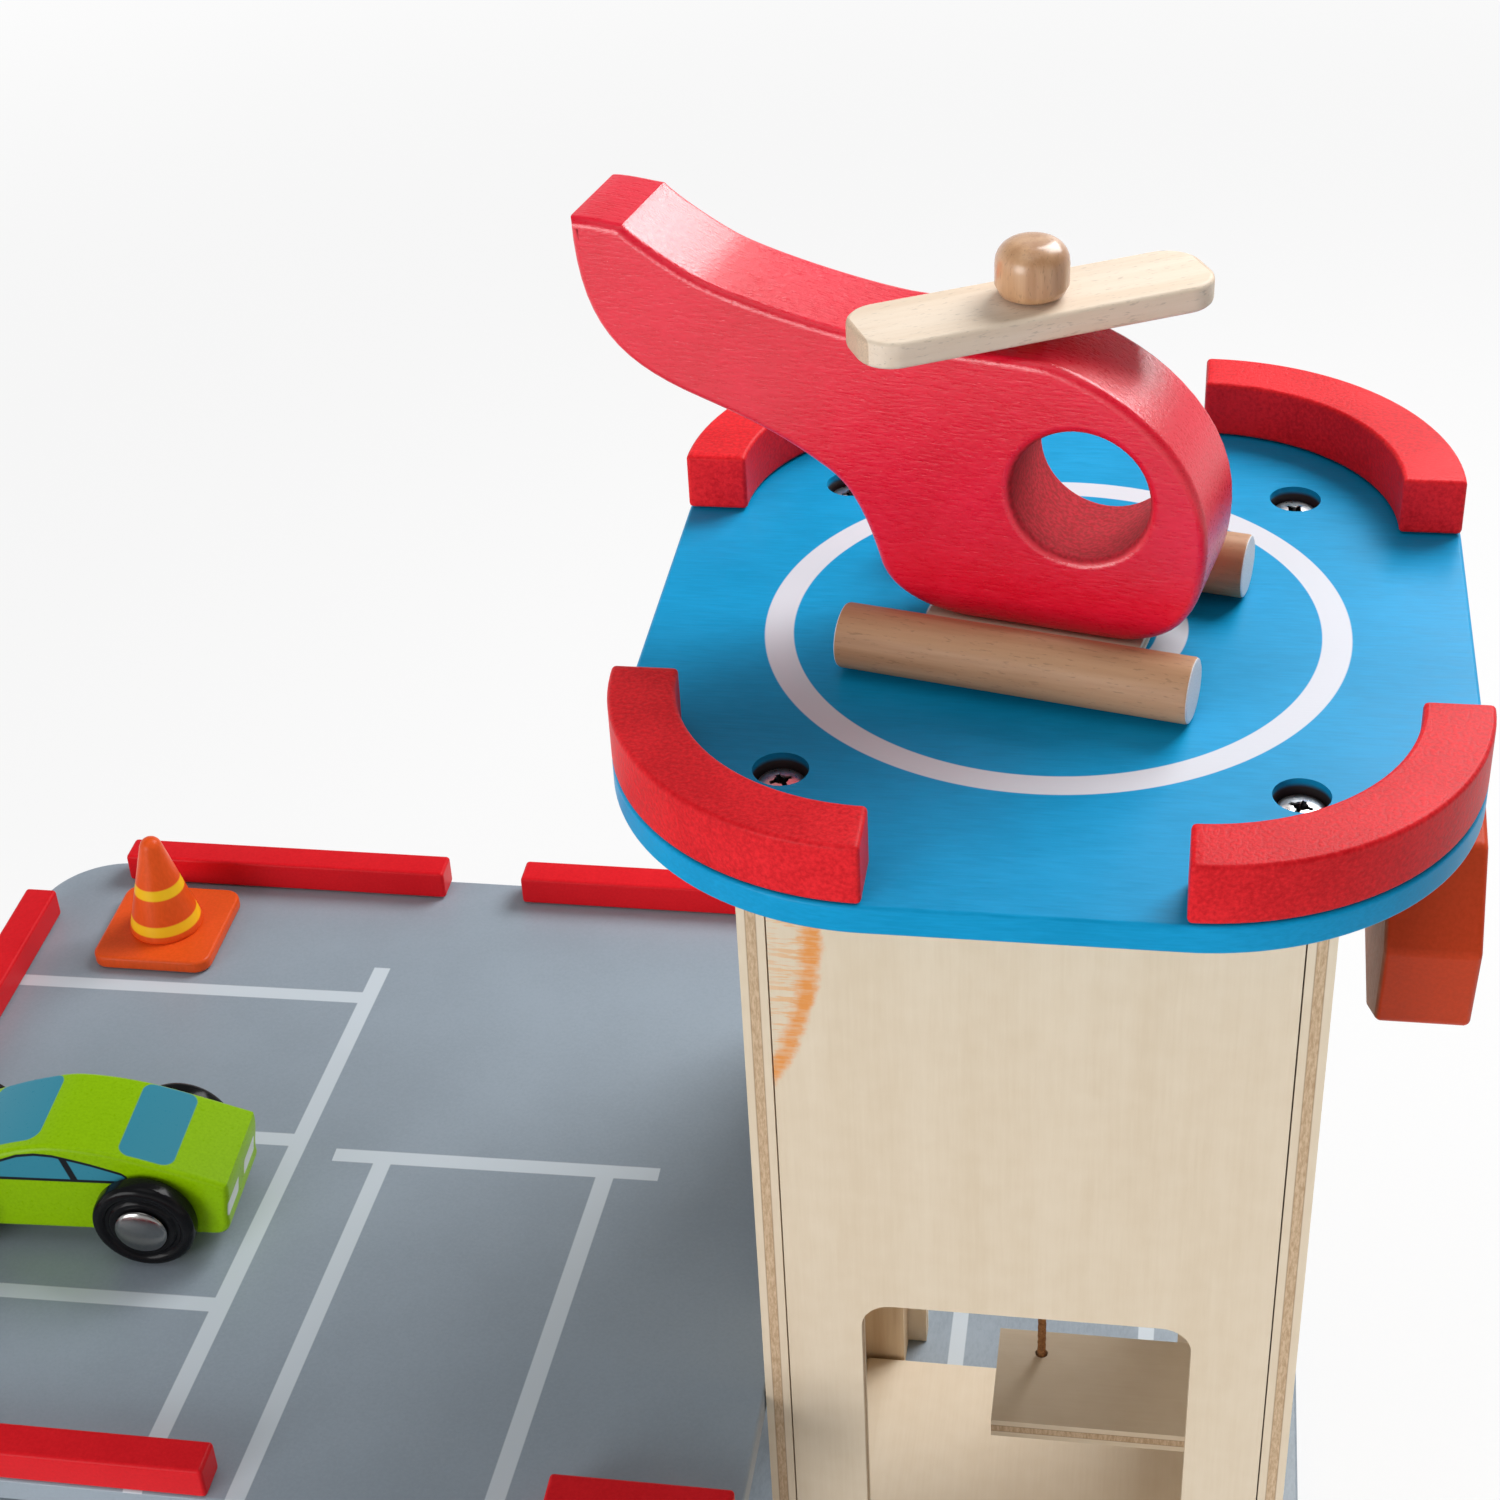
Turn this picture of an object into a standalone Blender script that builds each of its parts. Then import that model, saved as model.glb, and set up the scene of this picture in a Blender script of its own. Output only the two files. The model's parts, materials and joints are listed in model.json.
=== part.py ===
"""Wooden toy parking garage: lift tower with a helicopter pad, raised parking deck, ramp and three toys.

Metres, +Z up. The origin is on the underside of the ground board, below the middle of the lift tower.
X runs from the parking deck (minus) to the winch knob (plus), Y from the front to the back.
"""

import bpy
import bmesh
from math import atan, cos, pi, radians, sin
from mathutils import Matrix, Vector

# Clearances and eased edges
GAP = 0.0003
RUNNING = 0.0003
LIFT_PLAY = 0.001
PEG_FIT = 0.0004
EDGE = 0.0006
RAIL_EDGE = 0.0008
BUMPER_EDGE = 0.0009
POST_CHAMFER = 0.0008

# Ground board
BOARD_THICK = 0.009
BOARD_CORNER = 0.020
BOARD_RIGHT_MARGIN = 0.010

# Lift tower: four plywood panels round four square posts
TOWER_WIDTH = 0.104
TOWER_DEPTH = 0.122
TOWER_HEIGHT = 0.250
PANEL_THICK = 0.005
POST_SIDE = 0.010
DOOR_WIDTH = 0.064
DOOR_HEIGHT = 0.136
SIDE_DOOR_HEIGHT = 0.086
DECK_DOOR_HEIGHT = 0.048
DOOR_CORNER = 0.006

# Helicopter pad
PAD_WIDTH = 0.152
PAD_DEPTH = 0.176
PAD_THICK = 0.006
PAD_CORNER = 0.050
BUMPER_WIDTH = 0.012
BUMPER_HEIGHT = 0.012
PAD_SCREW_X = 0.0445
PAD_SCREW_Y = 0.0506

# Wood screws
PILOT_SIDES = 10
SCREW_CROWN = 0.0008
SCREW_HEAD = 0.0085
SCREW_HEAD_HIGH = 0.002
SCREW_SHANK = 0.0036
SCREW_LENGTH = 0.018
SCREW_HOLE = 0.010
PAD_SCREW_RECESS = 0.0022
BASE_SCREW_RECESS = 0.001

# Parking deck on posts
DECK_LENGTH = 0.210
DECK_DEPTH = 0.200
DECK_THICK = 0.006
DECK_TOP = 0.117
DECK_CORNER = 0.020
DECK_POST = 0.020
DECK_POST_INSET = 0.018
DECK_POST_RIGHT_INSET = 0.016
TENON = 0.010
TENON_HIGH = 0.003
LEDGE_SIDE = 0.010
LEDGE_LENGTH = 0.100
RAIL_SIDE = 0.008
BACK_RAIL_LENGTH = 0.084
BACK_RAIL_SPACE = 0.020
BACK_RAIL_START = 0.021
LEFT_RAIL_END_MARGIN = 0.023

# Ramp that plugs into the front edge of the deck
RAMP_FROM_TOWER = 0.0713
RAMP_WIDTH = 0.060
RAMP_RUN = 0.260
RAMP_THICK = 0.006
RAMP_TOE = 0.001
RAMP_RAIL_SPACE = 0.004
RAMP_BLOCK_DEEP = 0.012
SOCKET_STRIP_HIGH = 0.0135
PEG = 0.005
PEG_LENGTH = 0.016
PEG_SPACING = 0.040
PEG_ABOVE_STRIP = 0.005

# Winch through both side panels
SHAFT = 0.012
SHAFT_BELOW_PAD = 0.057
KNOB_ACROSS_FLATS = 0.050
KNOB_THICK = 0.018
KNOB_STAND_OFF = 0.0113
KNOB_TURN = 55.7
KNOB_BORE_DEEP = 0.012
KNOB_EDGE = 0.0008
COLLAR = 0.020
COLLAR_THICK = 0.006
CORD = 0.002
CORD_TURNS = 2
CORD_PITCH = 0.0026
CORD_STEP = 0.006
KNOT = 0.005

# Lift cabin, open at the front, back and left
LIFT_FLOOR_THICK = 0.005
LIFT_WALL_THICK = 0.005
LIFT_WALL_DEPTH = 0.060
LIFT_CLEAR_HEIGHT = 0.042
LIFT_ROOF_THICK = 0.005
LIFT_ROOF_DEPTH = 0.028
LIFT_ROOF_REACH = 0.010
CORD_HOLE = 0.003

# Helicopter, standing on the pad with its nose turned to the front
COPTER_X = -0.0013
COPTER_Y = -0.0015
COPTER_TURN = -12.1
COPTER_THICK = 0.022
COPTER_EDGE = 0.0018
WINDOW = 0.025
WINDOW_X = 0.008
WINDOW_Z = 0.0282
SKID = 0.012
SKID_LENGTH = 0.065
SKID_SPACING = 0.044
CROSSPIECE_LENGTH = 0.040
CROSSPIECE_THICK = 0.003
ROTOR_X = -0.004
ROTOR_SEAT = 0.0553
ROTOR_LENGTH = 0.066
ROTOR_WIDTH = 0.017
ROTOR_THICK = 0.005
ROTOR_END = 0.0065
ROTOR_TURN = 38.8
ROTOR_PLAY = 0.0005
ROTOR_PEG = 0.005
ROTOR_PEG_DEEP = 0.012
ROTOR_HEAD = 0.013
ROTOR_HEAD_HIGH = 0.010
ROTOR_HEAD_ROUND = 0.004
ROTOR_HEAD_CHAMFER = 0.002

# Outline of the helicopter's body above its belly: each corner with its two curve handles
COPTER_OUTLINE = (
    ((-0.0860, 0.0702), (0.0000, -0.0210), (0.0030, 0.0003)),
    ((-0.0760, 0.0697), (-0.0030, 0.0002), (0.0020, -0.0020)),
    ((-0.0620, 0.0613), (-0.0050, 0.0022), (0.0055, -0.0023)),
    ((-0.0290, 0.0541), (-0.0110, 0.0010), (0.0080, -0.0004)),
    ((0.0020, 0.0531), (-0.0060, 0.0004), (0.0120, -0.0028)),
    ((0.0310, 0.0205), (0.0000, 0.0185), (0.0000, -0.0145)),
    ((0.0140, 0.0000), (0.0110, 0.0000), (-0.0080, 0.0000)),
    ((-0.0110, 0.0000), (0.0080, 0.0000), (-0.0105, 0.0000)),
    ((-0.0290, 0.0087), (0.0018, -0.0050), (-0.0030, 0.0105)),
    ((-0.0390, 0.0267), (0.0042, -0.0026), (-0.0090, 0.0060)),
    ((-0.0630, 0.0375), (0.0080, -0.0026), (-0.0155, 0.0050)),
)

# Car, parked on the deck with its nose to the left rail, turned a little
CAR_FROM_RAIL = 0.0025
CAR_NOSE = 0.0395
CAR_Y = -0.0240
CAR_TURN = 2.7
CAR_WIDTH = 0.0244
CAR_EDGE = 0.0014
CAR_BELLY = 0.0048
WHEEL = 0.0224
WHEEL_WIDTH = 0.0050
WHEEL_PLAY = 0.0004
TREAD_ROUND = 0.0016
GROOVE_FROM_CAP = 0.0022
GROOVE_HALF = 0.0012
GROOVE_DEEP = 0.0006
REAR_AXLE_X = 0.0217
FRONT_AXLE_X = -0.0265
AXLE = 0.003
AXLE_CAP = 0.0115
AXLE_CAP_THICK = 0.0016
AXLE_CAP_RIM = 0.0004

# Outline of the car's body above its belly
CAR_OUTLINE = (
    ((0.0400, 0.0146), (0.0004, -0.0040), (-0.0040, 0.0014)),
    ((0.0200, 0.0214), (0.0060, -0.0018), (-0.0060, 0.0018)),
    ((0.0025, 0.0241), (0.0050, 0.0000), (-0.0040, 0.0000)),
    ((-0.0170, 0.0188), (0.0060, 0.0026), (-0.0070, -0.0028)),
    ((-0.0375, 0.0085), (0.0070, 0.0016), (-0.0020, -0.0006)),
    ((-0.0395, 0.0030), (0.0000, 0.0025), (0.0000, -0.0018)),
    ((-0.0360, 0.0000), (-0.0018, 0.0000), (0.0100, 0.0000)),
    ((0.0355, 0.0000), (-0.0100, 0.0000), (0.0020, 0.0000)),
    ((0.0390, 0.0036), (0.0000, -0.0020), (-0.0002, 0.0034)),
)

# Traffic cone
CONE_FROM_LEFT = 0.0385
CONE_FROM_BACK = 0.0285
CONE_PLATE = 0.030
CONE_PLATE_THICK = 0.0035
CONE_PLATE_CORNER = 0.004
CONE_PLATE_EDGE = 0.0008
CONE_FOOT = 0.018
CONE_TIP = 0.0056
CONE_HEIGHT = 0.030
CONE_FOOT_HIGH = 0.0015
CONE_FOOT_EASE = 0.0005

# Levels and places that follow from the sizes
BOARD_TOP = BOARD_THICK
TOWER_TOP = BOARD_TOP + TOWER_HEIGHT
PAD_TOP = TOWER_TOP + PAD_THICK
DECK_BOTTOM = DECK_TOP - DECK_THICK
TOWER_SIDE = TOWER_WIDTH / 2
TOWER_FRONT = TOWER_DEPTH / 2
INNER_SIDE = TOWER_SIDE - PANEL_THICK
INNER_FRONT = TOWER_FRONT - PANEL_THICK
DECK_RIGHT = -TOWER_SIDE
DECK_LEFT = DECK_RIGHT - DECK_LENGTH
DECK_FRONT = -DECK_DEPTH / 2
DECK_BACK = DECK_DEPTH / 2
RAMP_CENTRE_X = DECK_RIGHT - RAMP_FROM_TOWER
CAR_X = DECK_LEFT + RAIL_SIDE + CAR_FROM_RAIL + CAR_NOSE
CONE_X = DECK_LEFT + CONE_FROM_LEFT
CONE_Y = DECK_BACK - CONE_FROM_BACK
SHAFT_Z = PAD_TOP - SHAFT_BELOW_PAD
KNOB_LEFT = TOWER_SIDE + KNOB_STAND_OFF
CORD_RADIUS_ON_SHAFT = SHAFT / 2 + GAP + CORD / 2
LIFT_FLOOR_TOP = BOARD_TOP + GAP + LIFT_FLOOR_THICK
LIFT_ROOF_BOTTOM = LIFT_FLOOR_TOP + LIFT_CLEAR_HEIGHT
SMOOTH_ANGLE = radians(35)


# Helpers for the scene, materials and basic forms

for old in list(bpy.data.objects):
    bpy.data.objects.remove(old, do_unlink=True)

PARTS = bpy.data.collections.new("toy_parking_garage")
CUTTERS = bpy.data.collections.new("cutters")
bpy.context.scene.collection.children.link(PARTS)
bpy.context.scene.collection.children.link(CUTTERS)


def paint(name, colour, roughness, metallic=0.0):
    """A plain material with the part's colour and shine."""
    material = bpy.data.materials.new(name)
    material.use_nodes = True
    shader = material.node_tree.nodes["Principled BSDF"]
    shader.inputs["Base Color"].default_value = (*colour, 1.0)
    shader.inputs["Roughness"].default_value = roughness
    shader.inputs["Metallic"].default_value = metallic
    material.diffuse_color = (*colour, 1.0)
    return material


PLY = paint("birch_plywood", (0.74, 0.60, 0.40), 0.6)
GREY = paint("grey_paint", (0.24, 0.28, 0.31), 0.45)
BLUE = paint("blue_paint", (0.02, 0.30, 0.62), 0.4)
RED = paint("red_paint", (0.60, 0.01, 0.03), 0.4)
ORANGE_RED = paint("orange_red_paint", (0.75, 0.10, 0.01), 0.4)
ORANGE = paint("orange_paint", (0.80, 0.14, 0.01), 0.4)
CRIMSON = paint("crimson_paint", (0.62, 0.01, 0.05), 0.3)
BEECH = paint("bare_beech", (0.62, 0.42, 0.24), 0.55)
BROWN = paint("brown_stain", (0.38, 0.20, 0.09), 0.35)
STRING = paint("brown_cord", (0.45, 0.20, 0.07), 0.8)
STEEL = paint("steel", (0.75, 0.75, 0.76), 0.25, 1.0)
GREEN = paint("green_paint", (0.30, 0.55, 0.01), 0.35)
BLACK = paint("black_plastic", (0.01, 0.01, 0.012), 0.35)


def add(name, data, material, place=(0, 0, 0), turn=(0, 0, 0), parent=None):
    """Put a mesh or curve in the model as a named piece."""
    piece = bpy.data.objects.new(name, data)
    piece.location = place
    piece.rotation_euler = turn
    piece.parent = parent
    if material is not None:
        data.materials.clear()
        data.materials.append(material)
    PARTS.objects.link(piece)
    return piece


def smooth(piece):
    """Shade a piece with round faces smooth, with its real edges sharp."""
    piece.data.shade_smooth()
    piece.data.set_sharp_from_angle(angle=SMOOTH_ANGLE)
    return piece


def ease(piece, width, segments=1):
    """Round the piece's sharp edges."""
    bevel = piece.modifiers.new("eased edges", "BEVEL")
    bevel.width = width
    bevel.segments = segments
    bevel.limit_method = "ANGLE"
    bevel.angle_limit = SMOOTH_ANGLE
    return piece


def block(name, low, high, material, edge=0.0, parent=None):
    """A straight piece of wood between two opposite corners."""
    low = Vector(low)
    high = Vector(high)
    mesh = bpy.data.meshes.new(name)
    shape = bmesh.new()
    bmesh.ops.create_cube(shape, size=1.0)
    bmesh.ops.scale(shape, vec=high - low, verts=shape.verts)
    shape.to_mesh(mesh)
    shape.free()
    piece = add(name, mesh, material, (low + high) / 2, parent=parent)
    if edge > 0:
        ease(piece, edge)
    return piece


def rod_mesh(name, radius, length, sides=32, middle=(0, 0, 0)):
    """A round bar along Z about its middle."""
    mesh = bpy.data.meshes.new(name)
    shape = bmesh.new()
    bmesh.ops.create_cone(shape, cap_ends=True, segments=sides, radius1=radius, radius2=radius,
                          depth=length, matrix=Matrix.Translation(middle))
    shape.to_mesh(mesh)
    shape.free()
    return mesh


def arc(centre, radius, start, end, steps):
    """Points along an arc, angles in radians, both ends included."""
    turn = (end - start) / steps
    return [(centre[0] + radius * cos(start + turn * i), centre[1] + radius * sin(start + turn * i))
            for i in range(steps + 1)]


def circle(centre, radius, sides=32):
    """A closed round outline, run clockwise so that it makes a hole."""
    return arc(centre, radius, 2 * pi, 2 * pi / sides, sides - 1)


def rounded(corners, steps=8):
    """A closed outline from corners (x, y, radius), each rounded with its own radius."""
    points = []
    for i, (x, y, radius) in enumerate(corners):
        here = Vector((x, y))
        if radius == 0:
            points.append((x, y))
            continue
        back = (Vector(corners[i - 1][:2]) - here).normalized()
        onward = (Vector(corners[(i + 1) % len(corners)][:2]) - here).normalized()
        centre = here + (back + onward) * radius
        first = here + back * radius - centre
        last = here + onward * radius - centre
        for step in range(steps + 1):
            share = step / steps * pi / 2
            point = centre + first * cos(share) + last * sin(share)
            points.append((point.x, point.y))
    return points


def curved(corners, steps=6):
    """A closed outline through curve corners, each with its handle back and its handle on."""
    points = []
    for i, (corner, _, onward) in enumerate(corners):
        after, back, _ = corners[(i + 1) % len(corners)]
        start = Vector(corner)
        end = Vector(after)
        first = start + Vector(onward)
        last = end + Vector(back)
        straight = abs((first - start).cross(end - start)) + abs((last - end).cross(end - start)) < 1e-9
        pieces = 1 if straight else steps
        for step in range(pieces):
            t = step / pieces
            point = (start * (1 - t) ** 3 + first * 3 * t * (1 - t) ** 2
                     + last * 3 * t * t * (1 - t) + end * t ** 3)
            points.append((point.x, point.y))
    return points


def mesh_of(piece):
    """The finished mesh of a curve or a form with modifiers, with its caps welded."""
    bpy.context.view_layer.update()
    graph = bpy.context.evaluated_depsgraph_get()
    mesh = bpy.data.meshes.new_from_object(piece.evaluated_get(graph))
    shape = bmesh.new()
    shape.from_mesh(mesh)
    bmesh.ops.remove_doubles(shape, verts=shape.verts, dist=0.000002)
    bmesh.ops.recalc_face_normals(shape, faces=shape.faces)
    shape.to_mesh(mesh)
    shape.free()
    return mesh


def as_mesh(piece, material):
    """Turn a curve piece into a mesh piece of the same name and place."""
    name = piece.name
    mesh = mesh_of(piece)
    place = piece.matrix_basis.copy()
    parent = piece.parent
    bpy.data.objects.remove(piece, do_unlink=True)
    solid = add(name, mesh, material, parent=parent)
    solid.matrix_basis = place
    return smooth(solid)


def sheet(name, outlines, thick, material, place, turn=(0, 0, 0), edge=0.0, parent=None, round_steps=0):
    """A flat piece cut to an outline; further outlines are holes. It is centred on its own plane."""
    curve = bpy.data.curves.new(name, "CURVE")
    curve.dimensions = "2D"
    curve.fill_mode = "BOTH"
    curve.extrude = thick / 2 - edge
    curve.bevel_depth = edge
    curve.bevel_resolution = round_steps
    curve.offset = -edge
    for outline in outlines:
        spline = curve.splines.new("POLY")
        spline.points.add(len(outline) - 1)
        for point, (x, y) in zip(spline.points, outline):
            point.co = (x, y, 0.0, 1.0)
        spline.use_cyclic_u = True
    return as_mesh(add(name, curve, None, place, turn, parent), material)


def turned(name, profile, material, place=(0, 0, 0), turn=(0, 0, 0), steps=32, parent=None):
    """A turned piece: its profile (radius, height) from the top down, spun about its own Z axis."""
    mesh = bpy.data.meshes.new(name)
    points = [(radius, 0.0, height) for radius, height in profile]
    mesh.from_pydata(points, [(i, i + 1) for i in range(len(points) - 1)], [])
    piece = add(name, mesh, material, place, turn, parent)
    screw = piece.modifiers.new("turned", "SCREW")
    screw.steps = steps
    screw.render_steps = steps
    screw.use_merge_vertices = True
    screw.merge_threshold = 0.00001
    return piece


def ring(name, outer, inner, thick, material, place, turn, steps=32):
    """A turned ring about its own Z axis, centred on its middle."""
    half = thick / 2
    profile = [(inner, half), (outer, half), (outer, -half), (inner, -half), (inner, half)]
    return turned(name, profile, material, place, turn, steps)


def copies(name, piece, places):
    """A cutter with the finished form of a piece at each place."""
    form = mesh_of(piece)
    bpy.data.objects.remove(piece, do_unlink=True)
    mesh = bpy.data.meshes.new(name)
    shape = bmesh.new()
    for place in places:
        form_here = form.copy()
        form_here.transform(place)
        shape.from_mesh(form_here)
        bpy.data.meshes.remove(form_here)
    shape.to_mesh(mesh)
    shape.free()
    bpy.data.meshes.remove(form)
    return add(name, mesh, None)


def cut(cutter, targets):
    """Cut a shape out of each of the target pieces."""
    if cutter.name in PARTS.objects:
        PARTS.objects.unlink(cutter)
        CUTTERS.objects.link(cutter)
    cutter.hide_render = True
    cutter.display_type = "WIRE"
    for target in targets:
        boolean = target.modifiers.new("cut", "BOOLEAN")
        boolean.operation = "DIFFERENCE"
        boolean.solver = "EXACT"
        boolean.object = cutter


def join(extra, target):
    """Make an extra shape part of the target piece."""
    cut(extra, [target])
    target.modifiers["cut"].operation = "UNION"


def screw_profile(head, head_high, shank, length):
    """Half outline of a pan-head wood screw; the top of its head is at height 0."""
    rim = head / 2
    dome = [(rim * sin(a), -SCREW_CROWN * (1 - cos(a))) for a in (0, pi / 4, pi / 2)]
    return dome + [(rim, -head_high), (shank / 2, -head_high),
                   (shank / 2, -head_high - length + shank), (0.0, -head_high - length)]


def fasten(screws, board, posts, recess, sides):
    """Named screws, each pointing down its own Z axis from its place, and their holes in the wood."""
    profile = screw_profile(SCREW_HEAD, SCREW_HEAD_HIGH, SCREW_SHANK, SCREW_LENGTH)
    for name, place in screws.items():
        screw = smooth(turned(name, profile, STEEL, steps=sides))
        screw.matrix_basis = place
    floor = SCREW_HEAD_HIGH + GAP
    wide = rod_mesh("counterbore_form", SCREW_HOLE / 2, floor + 2 * recess, sides, (0, 0, recess - floor / 2))
    cut(copies("counterbores", add("counterbore_form", wide, None), screws.values()), [board])
    deep = SCREW_HEAD_HIGH + SCREW_LENGTH + GAP
    pilot = rod_mesh("pilot_form", SCREW_SHANK / 2 + PEG_FIT, deep, PILOT_SIDES, (0, 0, -deep / 2))
    cut(copies("pilot_holes", add("pilot_form", pilot, None), screws.values()), [board] + posts)


def pointing(place, direction):
    """Matrix that puts a form's Z axis along a direction at a place."""
    aim = Vector(direction).to_track_quat("Z", "Y").to_matrix().to_4x4()
    return Matrix.Translation(place) @ aim


# Turns that stand a flat piece up: facing the front, or facing the side
FACING_FRONT = (pi / 2, 0, 0)
FACING_SIDE = (pi / 2, 0, pi / 2)
ALONG_X = (0, pi / 2, 0)
ALONG_Y = (pi / 2, 0, 0)
SIDES = (("left", -1), ("right", 1))
ENDS = (("front", -1), ("back", 1))


def ground_board():
    """The base that everything stands on."""
    right = TOWER_SIDE + BOARD_RIGHT_MARGIN
    corners = [(DECK_LEFT, DECK_FRONT, BOARD_CORNER), (right, DECK_FRONT, BOARD_CORNER),
               (right, DECK_BACK, BOARD_CORNER), (DECK_LEFT, DECK_BACK, BOARD_CORNER)]
    return sheet("ground_board", [rounded(corners)], BOARD_THICK, GREY,
                 (0, 0, BOARD_THICK / 2), edge=EDGE)


def end_panel(name, side):
    """Front or back panel of the tower, with a doorway down to the ground board."""
    half = INNER_SIDE - GAP
    door = DOOR_WIDTH / 2
    door_top = BOARD_TOP + DOOR_HEIGHT
    foot = BOARD_TOP + GAP
    corners = [(-half, foot, 0), (-door, foot, 0), (-door, door_top, DOOR_CORNER),
               (door, door_top, DOOR_CORNER), (door, foot, 0), (half, foot, 0),
               (half, TOWER_TOP, 0), (-half, TOWER_TOP, 0)]
    return sheet(name, [rounded(corners)], PANEL_THICK, PLY,
                 (0, side * (TOWER_FRONT - PANEL_THICK / 2), 0), FACING_FRONT)


def shaft_bore():
    """The hole in a side panel in which the winch turns."""
    return circle((0, SHAFT_Z), SHAFT / 2 + RUNNING, 28)


def right_panel():
    """Closed side panel on the knob's side."""
    outline = rounded([(-TOWER_FRONT, BOARD_TOP + GAP, 0), (TOWER_FRONT, BOARD_TOP + GAP, 0),
                       (TOWER_FRONT, TOWER_TOP, 0), (-TOWER_FRONT, TOWER_TOP, 0)])
    return sheet("tower_right_panel", [outline, shaft_bore()], PANEL_THICK, PLY,
                 (TOWER_SIDE - PANEL_THICK / 2, 0, 0), FACING_SIDE)


def left_panel():
    """Side panel with a doorway at the ground and one at the parking deck."""
    foot = BOARD_TOP + GAP
    door = DOOR_WIDTH / 2
    low_top = BOARD_TOP + SIDE_DOOR_HEIGHT
    outline = rounded([(-TOWER_FRONT, foot, 0), (-door, foot, 0), (-door, low_top, DOOR_CORNER),
                       (door, low_top, DOOR_CORNER), (door, foot, 0), (TOWER_FRONT, foot, 0),
                       (TOWER_FRONT, TOWER_TOP, 0), (-TOWER_FRONT, TOWER_TOP, 0)])
    deck_door = rounded([(-door, DECK_TOP, 0), (-door, DECK_TOP + DECK_DOOR_HEIGHT, DOOR_CORNER),
                         (door, DECK_TOP + DECK_DOOR_HEIGHT, DOOR_CORNER), (door, DECK_TOP, 0)])
    return sheet("tower_left_panel", [outline, deck_door, shaft_bore()], PANEL_THICK, PLY,
                 (-TOWER_SIDE + PANEL_THICK / 2, 0, 0), FACING_SIDE)


def tower_posts():
    """Square posts in the tower's corners; they take the screws of the pad and of the board."""
    posts = []
    outer_x = INNER_SIDE - GAP
    outer_y = INNER_FRONT - GAP
    for end, y in ENDS:
        for side, x in SIDES:
            low = (min(x * outer_x, x * (outer_x - POST_SIDE)), min(y * outer_y, y * (outer_y - POST_SIDE)),
                   BOARD_TOP + GAP)
            high = (low[0] + POST_SIDE, low[1] + POST_SIDE, TOWER_TOP)
            posts.append(block(f"tower_post_{end}_{side}", low, high, PLY))
    return posts


def helicopter_pad():
    """Top board with round corners, and the quarter-ring bumpers on them."""
    x = PAD_WIDTH / 2
    y = PAD_DEPTH / 2
    corners = [(-x, -y, PAD_CORNER), (x, -y, PAD_CORNER), (x, y, PAD_CORNER), (-x, y, PAD_CORNER)]
    thick = PAD_THICK - GAP
    board = sheet("helipad_board", [rounded(corners, 14)], thick, BLUE,
                  (0, 0, PAD_TOP - thick / 2), edge=EDGE)
    for end, y_side in ENDS:
        for side, x_side in SIDES:
            bumper(f"bumper_{end}_{side}", x_side, y_side)
    return board


def bumper(name, x_side, y_side):
    """A quarter ring whose outer face is flush with the pad's corner."""
    start = {(1, 1): 0.0, (-1, 1): pi / 2, (-1, -1): pi, (1, -1): 1.5 * pi}[(x_side, y_side)]
    centre = (x_side * (PAD_WIDTH / 2 - PAD_CORNER), y_side * (PAD_DEPTH / 2 - PAD_CORNER))
    outer = arc((0, 0), PAD_CORNER, start, start + pi / 2, 10)
    inner = arc((0, 0), PAD_CORNER - BUMPER_WIDTH, start + pi / 2, start, 8)
    thick = BUMPER_HEIGHT - GAP
    return sheet(name, [outer + inner], thick, RED, (*centre, PAD_TOP + BUMPER_HEIGHT - thick / 2),
                 edge=BUMPER_EDGE, round_steps=1)


def parking_deck():
    """Raised deck, flush with the tower's left panel."""
    right = DECK_RIGHT - GAP
    corners = [(DECK_LEFT, DECK_FRONT, DECK_CORNER), (right, DECK_FRONT, 0),
               (right, DECK_BACK, 0), (DECK_LEFT, DECK_BACK, DECK_CORNER)]
    board = sheet("parking_deck", [rounded(corners)], DECK_THICK, GREY,
                  (0, 0, DECK_TOP - DECK_THICK / 2), edge=EDGE)
    return board


def rail(name, low, high):
    """A square edge rail on the deck, between two plan corners."""
    return block(name, (*low, DECK_TOP + GAP), (*high, DECK_TOP + RAIL_SIDE), RED, RAIL_EDGE)


def deck_rails():
    """Rails along the back and left edges, and along the front edge on both sides of the ramp."""
    first = DECK_LEFT + BACK_RAIL_START
    second = first + BACK_RAIL_LENGTH + BACK_RAIL_SPACE
    back_low = DECK_BACK - RAIL_SIDE
    rail("rail_back_left", (first, back_low), (first + BACK_RAIL_LENGTH, DECK_BACK))
    rail("rail_back_right", (second, back_low), (second + BACK_RAIL_LENGTH, DECK_BACK))
    side_end = DECK_BACK - LEFT_RAIL_END_MARGIN
    rail("rail_left", (DECK_LEFT, -side_end), (DECK_LEFT + RAIL_SIDE, side_end))
    ramp_left = RAMP_CENTRE_X - RAMP_WIDTH / 2
    ramp_right = RAMP_CENTRE_X + RAMP_WIDTH / 2
    front_high = DECK_FRONT + RAIL_SIDE
    rail("rail_front_left", (first, DECK_FRONT), (ramp_left - RAMP_RAIL_SPACE, front_high))
    rail("rail_front_right", (ramp_right + RAMP_RAIL_SPACE, DECK_FRONT),
         (second + BACK_RAIL_LENGTH, front_high))


def deck_post_places():
    """Plan places of the deck's posts."""
    left = DECK_LEFT + DECK_POST_INSET
    right = DECK_RIGHT - DECK_POST_RIGHT_INSET
    depth = DECK_BACK - DECK_POST_INSET
    return {"front_left": (left, -depth), "front_right": (right, -depth),
            "back_left": (left, depth), "back_right": (right, depth)}


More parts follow.
